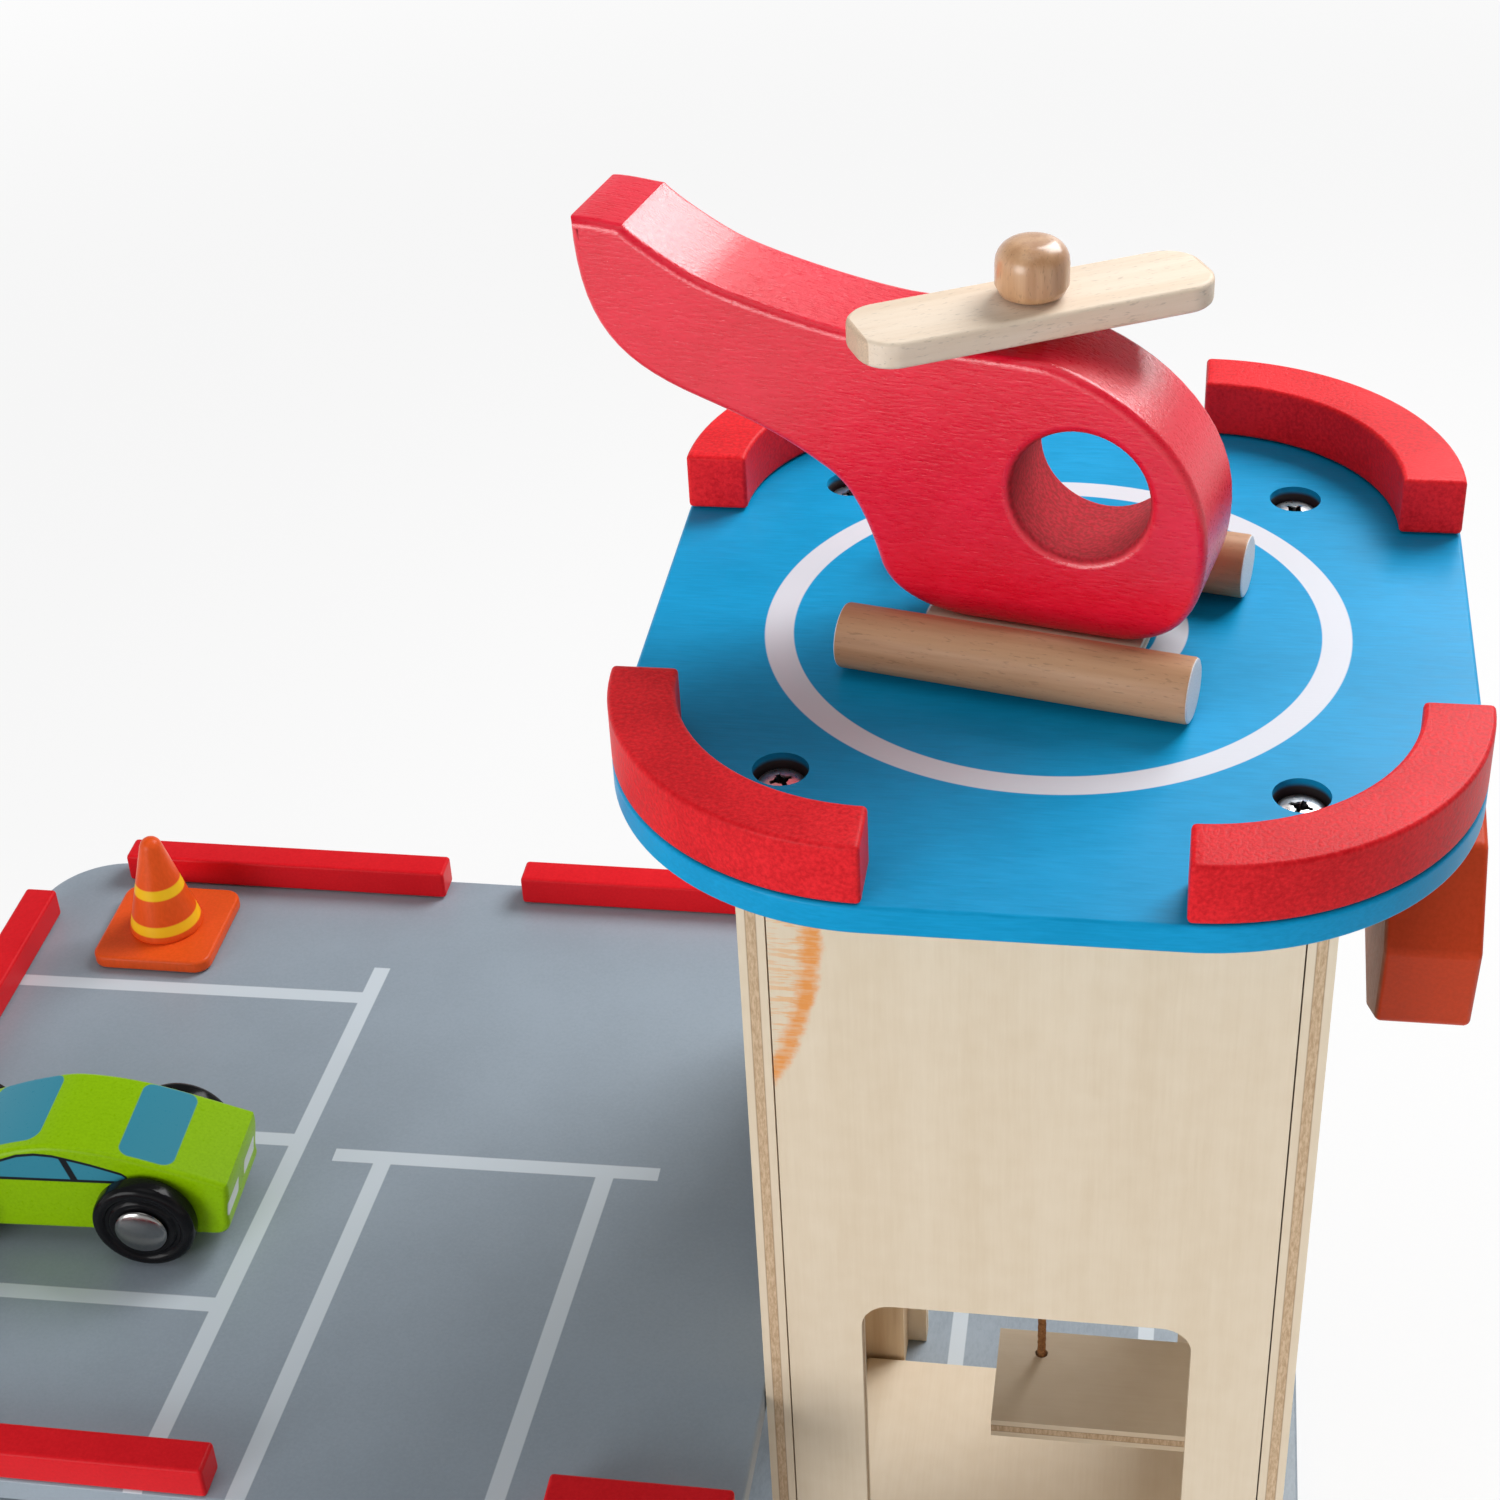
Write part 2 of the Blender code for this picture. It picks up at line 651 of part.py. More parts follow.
def deck_posts(deck, board):
    """Round posts, each glued by a tenon into the deck and another into the ground board."""
    foot = BOARD_TOP + GAP
    shoulder = DECK_BOTTOM - GAP
    radius = DECK_POST / 2
    chamfer = POST_CHAMFER
    profile = [(0.0, shoulder + TENON_HIGH), (TENON / 2, shoulder + TENON_HIGH), (TENON / 2, shoulder),
               (radius - chamfer, shoulder), (radius, shoulder - chamfer), (radius, foot + chamfer),
               (radius - chamfer, foot), (TENON / 2, foot), (TENON / 2, foot - TENON_HIGH),
               (0.0, foot - TENON_HIGH)]
    places = deck_post_places()
    for name, place in places.items():
        smooth(turned(f"deck_post_{name}", profile, BEECH, (*place, 0), steps=20))
    for name, level, wood in (("deck_sockets", DECK_BOTTOM, deck), ("board_sockets", BOARD_TOP, board)):
        side = TENON / 2 + GAP
        socket = [(0.0, level + TENON_HIGH), (side, level + TENON_HIGH), (side, level - TENON_HIGH),
                  (0.0, level - TENON_HIGH)]
        form = turned("socket_form", socket, None, steps=16)
        cut(copies(name, form, [Matrix.Translation((*place, 0)) for place in places.values()]), [wood])


def deck_ledge():
    """Strip glued to the tower's left panel; the deck rests on it."""
    right = DECK_RIGHT - GAP
    return block("deck_ledge", (right - LEDGE_SIDE, -LEDGE_LENGTH / 2, DECK_BOTTOM - LEDGE_SIDE),
                 (right, LEDGE_LENGTH / 2, DECK_BOTTOM - GAP), PLY, EDGE)


def garage_screws(board, pad, posts):
    """Screws from above and from below into the tower's posts."""
    plan = {f"{end}_{side}": (x * PAD_SCREW_X, y * PAD_SCREW_Y) for side, x in SIDES for end, y in ENDS}
    above = {f"helipad_screw_{name}": Matrix.Translation((*place, PAD_TOP - PAD_SCREW_RECESS))
             for name, place in plan.items()}
    fasten(above, pad, posts, PAD_SCREW_RECESS, 24)
    below = {f"base_screw_{name}": pointing((*place, BASE_SCREW_RECESS), (0, 0, -1))
             for name, place in plan.items()}
    fasten(below, board, posts, BASE_SCREW_RECESS, 12)


def winch():
    """Shaft through both side panels with its knob, two collars and the cord's turns."""
    shaft_end = KNOB_LEFT + KNOB_BORE_DEEP - GAP
    radius = SHAFT / 2
    chamfer = EDGE
    profile = [(0.0, shaft_end), (radius - chamfer, shaft_end), (radius, shaft_end - chamfer),
               (radius, -TOWER_SIDE + chamfer), (radius - chamfer, -TOWER_SIDE), (0.0, -TOWER_SIDE)]
    smooth(turned("winch_shaft", profile, BEECH, (0, 0, SHAFT_Z), ALONG_X, 28))
    winch_knob()
    for side, x in SIDES:
        middle = x * (INNER_SIDE - GAP - COLLAR_THICK / 2)
        smooth(ring(f"shaft_collar_{side}", COLLAR / 2, radius + GAP, COLLAR_THICK, BEECH,
                    (middle, 0, SHAFT_Z), ALONG_X, 28))
    cord_turns()


def winch_knob():
    """Eight-sided wooden knob with a blind bore for the shaft."""
    corner = KNOB_ACROSS_FLATS / 2 / cos(pi / 8)
    turn = radians(KNOB_TURN)
    outline = [(-corner * cos(pi / 4 * i - turn), -corner * sin(pi / 4 * i - turn)) for i in range(8)]
    knob = sheet("winch_knob", [outline], KNOB_THICK, ORANGE_RED,
                 (KNOB_LEFT + KNOB_THICK / 2, 0, SHAFT_Z), FACING_SIDE, edge=KNOB_EDGE, round_steps=1)
    bore = rod_mesh("knob_bore", SHAFT / 2 + GAP, 2 * KNOB_BORE_DEEP, 28)
    cut(add("knob_bore", bore, None, (KNOB_LEFT, 0, SHAFT_Z), ALONG_X), [knob])


def cord_turns():
    """The cord's turns on the shaft, running off at the back, where the cord drops to the lift."""
    per_turn = 24
    radius = CORD_RADIUS_ON_SHAFT
    points = []
    for i in range(CORD_TURNS * per_turn + 1):
        left = CORD_TURNS - i / per_turn
        angle = 2 * pi * left
        points.append(Vector((-CORD_PITCH * left, radius * cos(angle), SHAFT_Z + radius * sin(angle))))
    points.append(Vector((0, radius, SHAFT_Z - CORD)))
    tube("cord_turns", points, CORD / 2, STRING, 1)
    half_turn = per_turn // 2
    gap = min((a - b).length for i, a in enumerate(points) for b in points[i + half_turn:]) - CORD
    print(f"least gap between the cord's turns: {gap * 1000:.2f} mm")


def tube(name, points, radius, material, resolution):
    """A round cord through points."""
    curve = bpy.data.curves.new(name, "CURVE")
    curve.dimensions = "3D"
    curve.bevel_depth = radius
    curve.bevel_resolution = resolution
    curve.use_fill_caps = True
    spline = curve.splines.new("POLY")
    spline.points.add(len(points) - 1)
    for point, place in zip(spline.points, points):
        point.co = (*place, 1.0)
    return as_mesh(add(name, curve, None), material)


def lift():
    """C-shaped lift cabin: floor, one wall and a narrow roof arm that hangs on the cord."""
    side = INNER_SIDE - LIFT_PLAY
    front = INNER_FRONT - GAP - POST_SIDE - LIFT_PLAY
    bottom = BOARD_TOP + GAP
    block("lift_floor", (-side, -front, bottom), (side, front, LIFT_FLOOR_TOP), PLY, EDGE)
    wall_left = side - LIFT_WALL_THICK
    block("lift_wall", (wall_left, -LIFT_WALL_DEPTH / 2, LIFT_FLOOR_TOP + GAP),
          (side, LIFT_WALL_DEPTH / 2, LIFT_ROOF_BOTTOM - GAP), PLY)
    roof = block("lift_roof", (-LIFT_ROOF_REACH, -LIFT_ROOF_DEPTH / 2, LIFT_ROOF_BOTTOM),
                 (side, LIFT_ROOF_DEPTH / 2, LIFT_ROOF_BOTTOM + LIFT_ROOF_THICK), PLY)
    hole = rod_mesh("cord_hole", CORD_HOLE / 2, 4 * LIFT_ROOF_THICK, 12)
    cut(add("cord_hole", hole, None, (0, CORD_RADIUS_ON_SHAFT, LIFT_ROOF_BOTTOM)), [roof])
    cord_end = LIFT_ROOF_BOTTOM - GAP
    radius = KNOT / 2
    knot = arc((0, cord_end - GAP - radius), radius, pi / 2, -pi / 2, 6)
    profile = [(max(x, 0.0), z) for x, z in knot]
    smooth(turned("cord_knot", profile, STRING, (0, CORD_RADIUS_ON_SHAFT, 0), steps=12))
    top = SHAFT_Z - CORD - GAP
    steps = round((top - cord_end) / CORD_STEP)
    route = [Vector((0, CORD_RADIUS_ON_SHAFT, top + (cord_end - top) * i / steps)) for i in range(steps + 1)]
    tube("lift_cord", route, CORD / 2, STRING, 1)


def ramp():
    """Ramp board, the block under its top end, and the pegs that plug into the strip under the deck."""
    slope = DECK_TOP / RAMP_RUN
    drop = RAMP_THICK / cos(atan(slope))
    top_y = DECK_FRONT - GAP
    foot = GAP
    toe_y = top_y - (DECK_TOP - foot - RAMP_TOE) / slope
    under_y = top_y - (DECK_TOP - drop - foot) / slope
    outline = [(top_y, DECK_TOP), (toe_y, foot + RAMP_TOE), (toe_y, foot), (under_y, foot),
               (top_y, DECK_TOP - drop)]
    sheet("ramp_board", [outline], RAMP_WIDTH, GREY, (RAMP_CENTRE_X, 0, 0), FACING_SIDE)
    strip_low = DECK_BOTTOM - SOCKET_STRIP_HIGH
    block_front = top_y - RAMP_BLOCK_DEEP
    outline = [(top_y, DECK_TOP - drop - GAP), (block_front, DECK_TOP - drop - GAP - RAMP_BLOCK_DEEP * slope),
               (block_front, strip_low), (top_y, strip_low)]
    end_block = sheet("ramp_end_block", [outline], RAMP_WIDTH, PLY, (RAMP_CENTRE_X, 0, 0), FACING_SIDE)
    left = RAMP_CENTRE_X - RAMP_WIDTH / 2
    strip = block("ramp_socket_strip", (left, DECK_FRONT, strip_low),
                  (left + RAMP_WIDTH, DECK_FRONT + RAMP_BLOCK_DEEP, DECK_BOTTOM - GAP), PLY, EDGE)
    height = strip_low + PEG_ABOVE_STRIP
    plan = [RAMP_CENTRE_X - PEG_SPACING / 2, RAMP_CENTRE_X + PEG_SPACING / 2]
    places = [pointing((x, DECK_FRONT, height), (0, 1, 0)) for x in plan]
    pegs = ease(add("peg_form", rod_mesh("peg_form", PEG / 2, PEG_LENGTH, 16), None), EDGE)
    join(copies("ramp_pegs", pegs, places), end_block)
    holes = add("peg_hole_form", rod_mesh("peg_hole_form", PEG / 2 + GAP, PEG_LENGTH + 2 * GAP, 16), None)
    cut(copies("ramp_peg_holes", holes, places), [strip])


def helicopter():
    """Toy helicopter: one sawn body board on a crosspiece and two dowel skids, with a loose rotor."""
    home = bpy.data.objects.new("helicopter_place", None)
    home.location = (COPTER_X, COPTER_Y, PAD_TOP + GAP)
    home.rotation_euler = (0, 0, radians(COPTER_TURN))
    PARTS.objects.link(home)
    skid_axis = SKID / 2
    half_spacing = SKID_SPACING / 2
    for name, y in (("skid_near", -half_spacing), ("skid_far", half_spacing)):
        rod = add(name, rod_mesh(name, SKID / 2, SKID_LENGTH, 32), BEECH, (0, y, skid_axis), ALONG_X, home)
        smooth(ease(rod, EDGE))
    half = half_spacing - SKID / 2 - GAP
    block("helicopter_crosspiece", (-CROSSPIECE_LENGTH / 2, -half, skid_axis - CROSSPIECE_THICK),
          (CROSSPIECE_LENGTH / 2, half, skid_axis), PLY, parent=home)
    belly = skid_axis + GAP
    window = circle((WINDOW_X, WINDOW_Z), WINDOW / 2, 36)
    outline = curved(COPTER_OUTLINE, 5)
    outline.reverse()
    body = sheet("helicopter_body", [outline, window], COPTER_THICK, CRIMSON, (0, 0, belly),
                 FACING_FRONT, COPTER_EDGE, home, 1)
    rotor(home, body, belly + ROTOR_SEAT)


def rotor(home, body, seat):
    """Rotor blade, free on a peg whose round head keeps it down."""
    hub = bpy.data.objects.new("rotor_place", None)
    hub.parent = home
    hub.location = (ROTOR_X, 0, seat)
    hub.rotation_euler = (0, 0, radians(ROTOR_TURN))
    PARTS.objects.link(hub)
    x = ROTOR_LENGTH / 2
    y = ROTOR_WIDTH / 2
    corners = [(-x, -y, ROTOR_END), (x, -y, ROTOR_END), (x, y, ROTOR_END), (-x, y, ROTOR_END)]
    hole = circle((0, 0), ROTOR_PEG / 2 + ROTOR_PLAY, 16)
    sheet("rotor_blade", [rounded(corners, 6), hole], ROTOR_THICK, BEECH, (0, 0, GAP + ROTOR_THICK / 2),
          edge=EDGE, parent=hub)
    head_low = ROTOR_THICK + 2 * GAP
    head_top = head_low + ROTOR_HEAD_HIGH
    rim = ROTOR_HEAD / 2
    round_top = arc((rim - ROTOR_HEAD_ROUND, head_top - ROTOR_HEAD_ROUND), ROTOR_HEAD_ROUND, pi / 2, 0, 4)
    peg_radius = ROTOR_PEG / 2
    profile = [(0.0, head_top), *round_top, (rim, head_low + ROTOR_HEAD_CHAMFER),
               (rim - ROTOR_HEAD_CHAMFER, head_low),
               (peg_radius, head_low), (peg_radius, -ROTOR_PEG_DEEP), (0.0, -ROTOR_PEG_DEEP)]
    smooth(turned("rotor_peg", profile, BROWN, steps=24, parent=hub))
    bore = rod_mesh("rotor_peg_bore", peg_radius + PEG_FIT, 2 * (ROTOR_PEG_DEEP + GAP), 16)
    cut(add("rotor_peg_bore", bore, None, parent=hub), [body])


def car():
    """Toy car: sawn body, two steel axles with domed caps, four wheels."""
    home = bpy.data.objects.new("car_place", None)
    home.location = (CAR_X, CAR_Y, DECK_TOP + GAP)
    home.rotation_euler = (0, 0, radians(CAR_TURN))
    PARTS.objects.link(home)
    outline = curved(CAR_OUTLINE, 5)
    outline.reverse()
    axle_high = WHEEL / 2
    body = sheet("car_body", [outline], CAR_WIDTH, GREEN, (0, 0, CAR_BELLY), FACING_FRONT, CAR_EDGE, home, 1)
    wheel_middle = CAR_WIDTH / 2 + WHEEL_PLAY + WHEEL_WIDTH / 2
    for end, x in (("front", FRONT_AXLE_X), ("rear", REAR_AXLE_X)):
        bore = rod_mesh(f"{end}_axle_bore", AXLE / 2 + RUNNING, 2 * CAR_WIDTH, 16)
        cut(add(f"{end}_axle_bore", bore, None, (x, 0, axle_high), ALONG_Y, home), [body])
        axle(f"{end}_axle", x, axle_high, wheel_middle + WHEEL_WIDTH / 2, home)
        wheel(f"wheel_{end}_near", x, -wheel_middle, axle_high, 1, home)
        wheel(f"wheel_{end}_far", x, wheel_middle, axle_high, -1, home)


def axle(name, x, height, wheel_face, home):
    """Steel rod with a domed cap pressed on each end, outside the wheels."""
    cap = wheel_face + GAP
    rim = cap + AXLE_CAP_RIM
    dome_high = AXLE_CAP_THICK - AXLE_CAP_RIM
    radius = AXLE_CAP / 2
    dome = [(radius * sin(a), rim + dome_high * cos(a)) for a in (0, pi / 6, pi / 3, pi / 2)]
    half = dome + [(radius, cap), (AXLE / 2, cap)]
    profile = half + [(r, -z) for r, z in reversed(half)]
    smooth(turned(name, profile, STEEL, (x, 0, height), ALONG_Y, 20, home))


def wheel(name, x, y, height, face, home):
    """Solid wheel with a rounded tread and a shallow dish round the axle cap on its outer face."""
    radius = WHEEL / 2
    half = WHEEL_WIDTH / 2
    bore = AXLE / 2 + GAP
    dish = AXLE_CAP / 2 + GROOVE_FROM_CAP
    edge = TREAD_ROUND
    tread = arc((radius - edge, half - edge), edge, pi / 2, 0, 3)
    under = arc((radius - edge, edge - half), edge, 0, -pi / 2, 1)
    profile = [(bore, half), (dish - GROOVE_HALF, half), (dish, half - GROOVE_DEEP), (dish + GROOVE_HALF, half),
               *tread, *under, (bore, -half), (bore, half)]
    turn = (face * pi / 2, 0, 0)
    smooth(turned(name, profile, BLACK, (x, y, height), turn, 24, home))


def cone():
    """Traffic cone: turned cone and square plate in one."""
    home = bpy.data.objects.new("cone_place", None)
    home.location = (CONE_X, CONE_Y, DECK_TOP + GAP)
    PARTS.objects.link(home)
    half = CONE_PLATE / 2
    corners = [(-half, -half, CONE_PLATE_CORNER), (half, -half, CONE_PLATE_CORNER),
               (half, half, CONE_PLATE_CORNER), (-half, half, CONE_PLATE_CORNER)]
    thick = CONE_PLATE_THICK
    plate = sheet("traffic_cone", [rounded(corners, 4)], thick, ORANGE, (0, 0, thick / 2), edge=CONE_PLATE_EDGE,
                  parent=home)
    tip = CONE_TIP / 2
    foot = CONE_FOOT / 2
    tip_round = arc((0, CONE_HEIGHT - tip), tip, pi / 2, pi / 12, 4)
    profile = [(max(r, 0.0), z) for r, z in tip_round]
    profile += [(foot - CONE_FOOT_EASE, thick + CONE_FOOT_HIGH), (foot, thick + CONE_FOOT_HIGH - CONE_FOOT_EASE),
                (foot, thick / 2), (0.0, thick / 2)]
    join(turned("cone_form", profile, None, steps=24, parent=home), plate)


def garage():
    """The whole toy."""
    board = ground_board()
    end_panel("tower_front_panel", -1)
    end_panel("tower_back_panel", 1)
    right_panel()
    left_panel()
    posts = tower_posts()
    pad = helicopter_pad()
    deck = parking_deck()
    deck_rails()
    deck_posts(deck, board)
    deck_ledge()
    garage_screws(board, pad, posts)
    winch()
    lift()
    ramp()
    helicopter()
    car()
    cone()
    bpy.context.view_layer.update()


garage()
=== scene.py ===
"""Looks of a wooden toy parking garage: lift tower, helicopter pad, deck, ramp and three loose toys.

Metres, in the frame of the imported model: X to the winch knob, Y to the back, Z up from the table.
"""

import json
from math import cos, hypot, pi, radians, sin

import bpy
from mathutils import Matrix, Vector

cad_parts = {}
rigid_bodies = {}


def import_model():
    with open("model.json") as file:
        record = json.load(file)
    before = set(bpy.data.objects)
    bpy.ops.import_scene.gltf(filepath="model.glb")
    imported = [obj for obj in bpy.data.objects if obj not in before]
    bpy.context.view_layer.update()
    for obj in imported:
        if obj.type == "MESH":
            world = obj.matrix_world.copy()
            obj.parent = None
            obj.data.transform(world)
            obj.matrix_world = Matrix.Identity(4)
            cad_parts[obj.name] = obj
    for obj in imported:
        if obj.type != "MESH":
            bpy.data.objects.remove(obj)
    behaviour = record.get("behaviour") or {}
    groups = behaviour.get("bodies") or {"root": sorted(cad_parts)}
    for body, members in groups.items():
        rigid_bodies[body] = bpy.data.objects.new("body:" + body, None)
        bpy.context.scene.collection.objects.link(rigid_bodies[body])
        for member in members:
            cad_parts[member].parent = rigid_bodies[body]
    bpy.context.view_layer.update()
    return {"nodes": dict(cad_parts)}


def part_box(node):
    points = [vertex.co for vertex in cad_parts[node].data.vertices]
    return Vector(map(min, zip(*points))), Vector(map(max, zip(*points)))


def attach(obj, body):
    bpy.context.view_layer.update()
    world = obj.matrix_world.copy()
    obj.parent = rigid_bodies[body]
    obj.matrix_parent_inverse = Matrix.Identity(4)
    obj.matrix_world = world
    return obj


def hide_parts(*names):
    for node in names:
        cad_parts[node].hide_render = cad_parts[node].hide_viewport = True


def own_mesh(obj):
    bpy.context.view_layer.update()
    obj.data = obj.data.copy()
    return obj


for leftover in list(bpy.data.objects):
    bpy.data.objects.remove(leftover, do_unlink=True)

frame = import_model()

# The camera stands in front of the tower and above it, where the photograph was taken from.
# It looks down at about 35 degrees, turned a little to the left.
CAMERA_PLACE = (0.0209465, -0.4284925, 0.5351757)
CAMERA_YAW = -0.184864
CAMERA_PITCH = 0.606122
CAMERA_ROLL = -0.056524
CAMERA_LENS = 64.788
camera_turn = (Matrix.Rotation(-CAMERA_YAW, 3, "Z") @ Matrix.Rotation(pi / 2 - CAMERA_PITCH, 3, "X")
               @ Matrix.Rotation(CAMERA_ROLL, 3, "Z"))
bpy.ops.object.camera_add(location=CAMERA_PLACE, rotation=camera_turn.to_euler())
camera = bpy.context.object
camera.data.sensor_width = 36.0
camera.data.lens = CAMERA_LENS
camera.data.clip_start = 0.01
bpy.context.scene.camera = camera
bpy.context.scene.view_settings.view_transform = "Standard"


# The studio: a pale room, a soft lamp close behind on the right, one farther off in front on the left,
# and a weak one overhead. The table is white to the camera and in reflections, quite plain farther
# away, and near the toy it keeps the toy's soft shadow.
class Look:
    """A socket in a material's nodes. Sums on it add Math nodes."""

    def __init__(self, socket):
        self.socket = socket

    def add(self, kind, settings=None, values=None, out=0):
        """Adds a node: first its settings, then its sockets' values or links. Gives one output."""
        tree = self.socket.id_data
        made = tree.nodes.new(kind)
        for name, setting in (settings or {}).items():
            if name == "stops":
                ramp = made.color_ramp.elements
                while len(ramp) < len(setting):
                    ramp.new(1.0)
                for stop, (place, colour) in zip(ramp, setting):
                    stop.position = place
                    stop.color = colour
            else:
                setattr(made, name, setting)
        for name, value in (values or {}).items():
            if isinstance(value, Look):
                tree.links.new(value.socket, made.inputs[name])
            else:
                made.inputs[name].default_value = value
        return Look(made.outputs[out])

    def other(self, output):
        """Another output of the same node."""
        return Look(self.socket.node.outputs[output])

    def sum(self, operation, *values):
        return self.add("ShaderNodeMath", {"operation": operation}, dict(enumerate(values)))

    def at_least(self, low):
        return self.sum("MAXIMUM", self, low)

    def length(self):
        return self.add("ShaderNodeVectorMath", {"operation": "LENGTH"}, {0: self}, "Value")

    def __add__(self, other):
        return self.sum("ADD", self, other)

    def __sub__(self, other):
        return self.sum("SUBTRACT", self, other)

    def __rsub__(self, other):
        return self.sum("SUBTRACT", other, self)

    def __mul__(self, other):
        return self.sum("MULTIPLY", self, other)

    def __truediv__(self, other):
        return self.sum("DIVIDE", self, other)

    def __gt__(self, other):
        return self.sum("GREATER_THAN", self, other)

    def __lt__(self, other):
        return self.sum("LESS_THAN", self, other)

    def __abs__(self):
        return self.sum("ABSOLUTE", self)

    __radd__ = __add__
    __rmul__ = __mul__


def spread(value, low, high, first=0.0, last=1.0):
    """The value's run from low to high, spread softly over first to last."""
    return value.add("ShaderNodeMapRange", {"interpolation_type": "SMOOTHSTEP"},
                     {0: value, 1: low, 2: high, 3: first, 4: last})


room = bpy.data.worlds.new("studio room")
bpy.context.scene.world = room
room.use_nodes = True
room_shader = room.node_tree.nodes["Background"]
direction = Look(room_shader.outputs[0]).add("ShaderNodeTexCoord")
to_right = direction.add("ShaderNodeSeparateXYZ", values={0: direction})
room_level = spread(to_right.other("Z"), 0.12, 0.55, 0.95, 0.20) * spread(to_right, 0.10, 0.75, 1.0, 0.55)
room.node_tree.links.new(room_level.socket, room_shader.inputs["Strength"])
room_shader.inputs["Color"].default_value = (1.0, 1.0, 1.0, 1.0)


def soft_lamp(name, place, aim, size, watts):
    """A square soft box at a place, aimed at a point."""
    turn = (Vector(aim) - Vector(place)).to_track_quat("-Z", "Y").to_euler()
    bpy.ops.object.light_add(type="AREA", location=place, rotation=turn)
    lamp = bpy.context.object
    lamp.name = name
    lamp.data.size = size
    lamp.data.energy = watts


soft_lamp("back right soft box", (0.27, 0.43, 0.74), (0.0, 0.0, 0.2), 0.42, 6.0)
soft_lamp("overhead soft box", (-0.10, -0.30, 1.55), (0.0, 0.0, 0.2), 0.9, 1.9)
soft_lamp("front left soft box", (-1.2, -1.7, 0.60), (-0.05, 0.0, 0.2), 1.1, 21.8)

bpy.ops.mesh.primitive_plane_add(size=60.0, location=(0, 0, -0.0002))
table = bpy.context.object
table.name = "studio_table"
table_paint = bpy.data.materials.new("white table")
table_paint.use_nodes = True
table_shader = table_paint.node_tree.nodes["Principled BSDF"]
table_shader.inputs["Base Color"].default_value = (0.85, 0.85, 0.85, 1.0)
table_shader.inputs["Roughness"].default_value = 0.7
table_shader.inputs["Specular IOR Level"].default_value = 0.1
paths = Look(table_shader.outputs[0]).add("ShaderNodeLightPath")
mirrored = paths.other("Is Glossy Ray").at_least(paths.other("Is Transmission Ray"))
glow = paths.add("ShaderNodeEmission", values={"Color": (1.0, 1.0, 1.0, 1.0), "Strength": 1.0})
whiteness = spread(paths.add("ShaderNodeTexCoord", out="Object").length(), 0.45, 1.6, 0.80, 1.0)
seen_table = paths.add("ShaderNodeMixShader", values={0: paths.at_least(mirrored) * whiteness,
                                                      1: Look(table_shader.outputs[0]), 2: glow})
table_output = table_paint.node_tree.nodes["Material Output"]
table_paint.node_tree.links.new(seen_table.socket, table_output.inputs["Surface"])
table.data.materials.append(table_paint)


# The winch cord: a 2 mm three-ply cord wound twice round the shaft, which drops from the back of the
# shaft to the lift's roof arm and ends under it in a knot. It shortens as the winch winds it up.
CORD_RADIUS = 0.001
CORD_LAY = 0.007
SHAFT_HEIGHT = 0.208
WINDING_RADIUS = 0.0073
WINDING_PITCH = 0.0026
CORD_TOP = 0.2057
CORD_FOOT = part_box("lift_cord")[0].z


def new_material(name):
    """A new material, and the place on the piece as a Look to start its pattern from."""
    material = bpy.data.materials.new(name)
    material.use_nodes = True
    start = Look(material.node_tree.nodes["Principled BSDF"].outputs[0])
    return material, start.add("ShaderNodeTexCoord", out="Object")


def finish(material, colour, rough, bump=None, depth=0.0, **plain):
    """Puts colour, roughness and a bump of a depth in metres on the material's shader."""
    tree = material.node_tree
    shader = tree.nodes["Principled BSDF"]
    if bump is not None:
        plain["Normal"] = bump.add("ShaderNodeBump", values={"Strength": 1.0, "Distance": depth,
                                                             "Height": bump})
    for name, value in {"Base Color": colour, "Roughness": rough, **plain}.items():
        socket = shader.inputs[name.replace("_", " ")]
        if isinstance(value, Look):
            tree.links.new(value.socket, socket)
        else:
            socket.default_value = value
    return material


def noise(place, scale, detail=2.0, rough=0.5):
    """Cloudy noise between 0 and 1; the scale is in patches per metre."""
    return place.add("ShaderNodeTexNoise", values={"Vector": place, "Scale": scale, "Detail": detail,
                                                   "Roughness": rough})


def mix(share, first, second):
    """A colour between two, each a Look or a red, green and blue."""
    first, second = (end if isinstance(end, Look) else (*end, 1.0) for end in (first, second))
    return share.add("ShaderNodeMix", {"data_type": "RGBA"}, {0: share, 6: first, 7: second}, 2)


def scaled(place, scale=(1.0, 1.0, 1.0), home=(0, 0, 0), turn=0.0):
    """The place measured from a home that is turned about Z, then stretched."""
    local = place.add("ShaderNodeMapping", {"vector_type": "TEXTURE"},
                      {"Vector": place, "Location": home, "Rotation": (0, 0, turn)})
    return local.add("ShaderNodeMapping", values={"Vector": local, "Scale": scale})


cord_material, place = new_material("twisted brown cord")
fibres = noise(place, 5200.0, 3.0, 0.6)
tufts = noise(place, 900.0, 2.0)
strands = mix(spread(fibres * 0.7 + tufts * 0.3, 0.35, 0.68), (0.20, 0.075, 0.022), (0.56, 0.26, 0.09))
finish(cord_material, strands, 0.85, fibres, 0.00012)


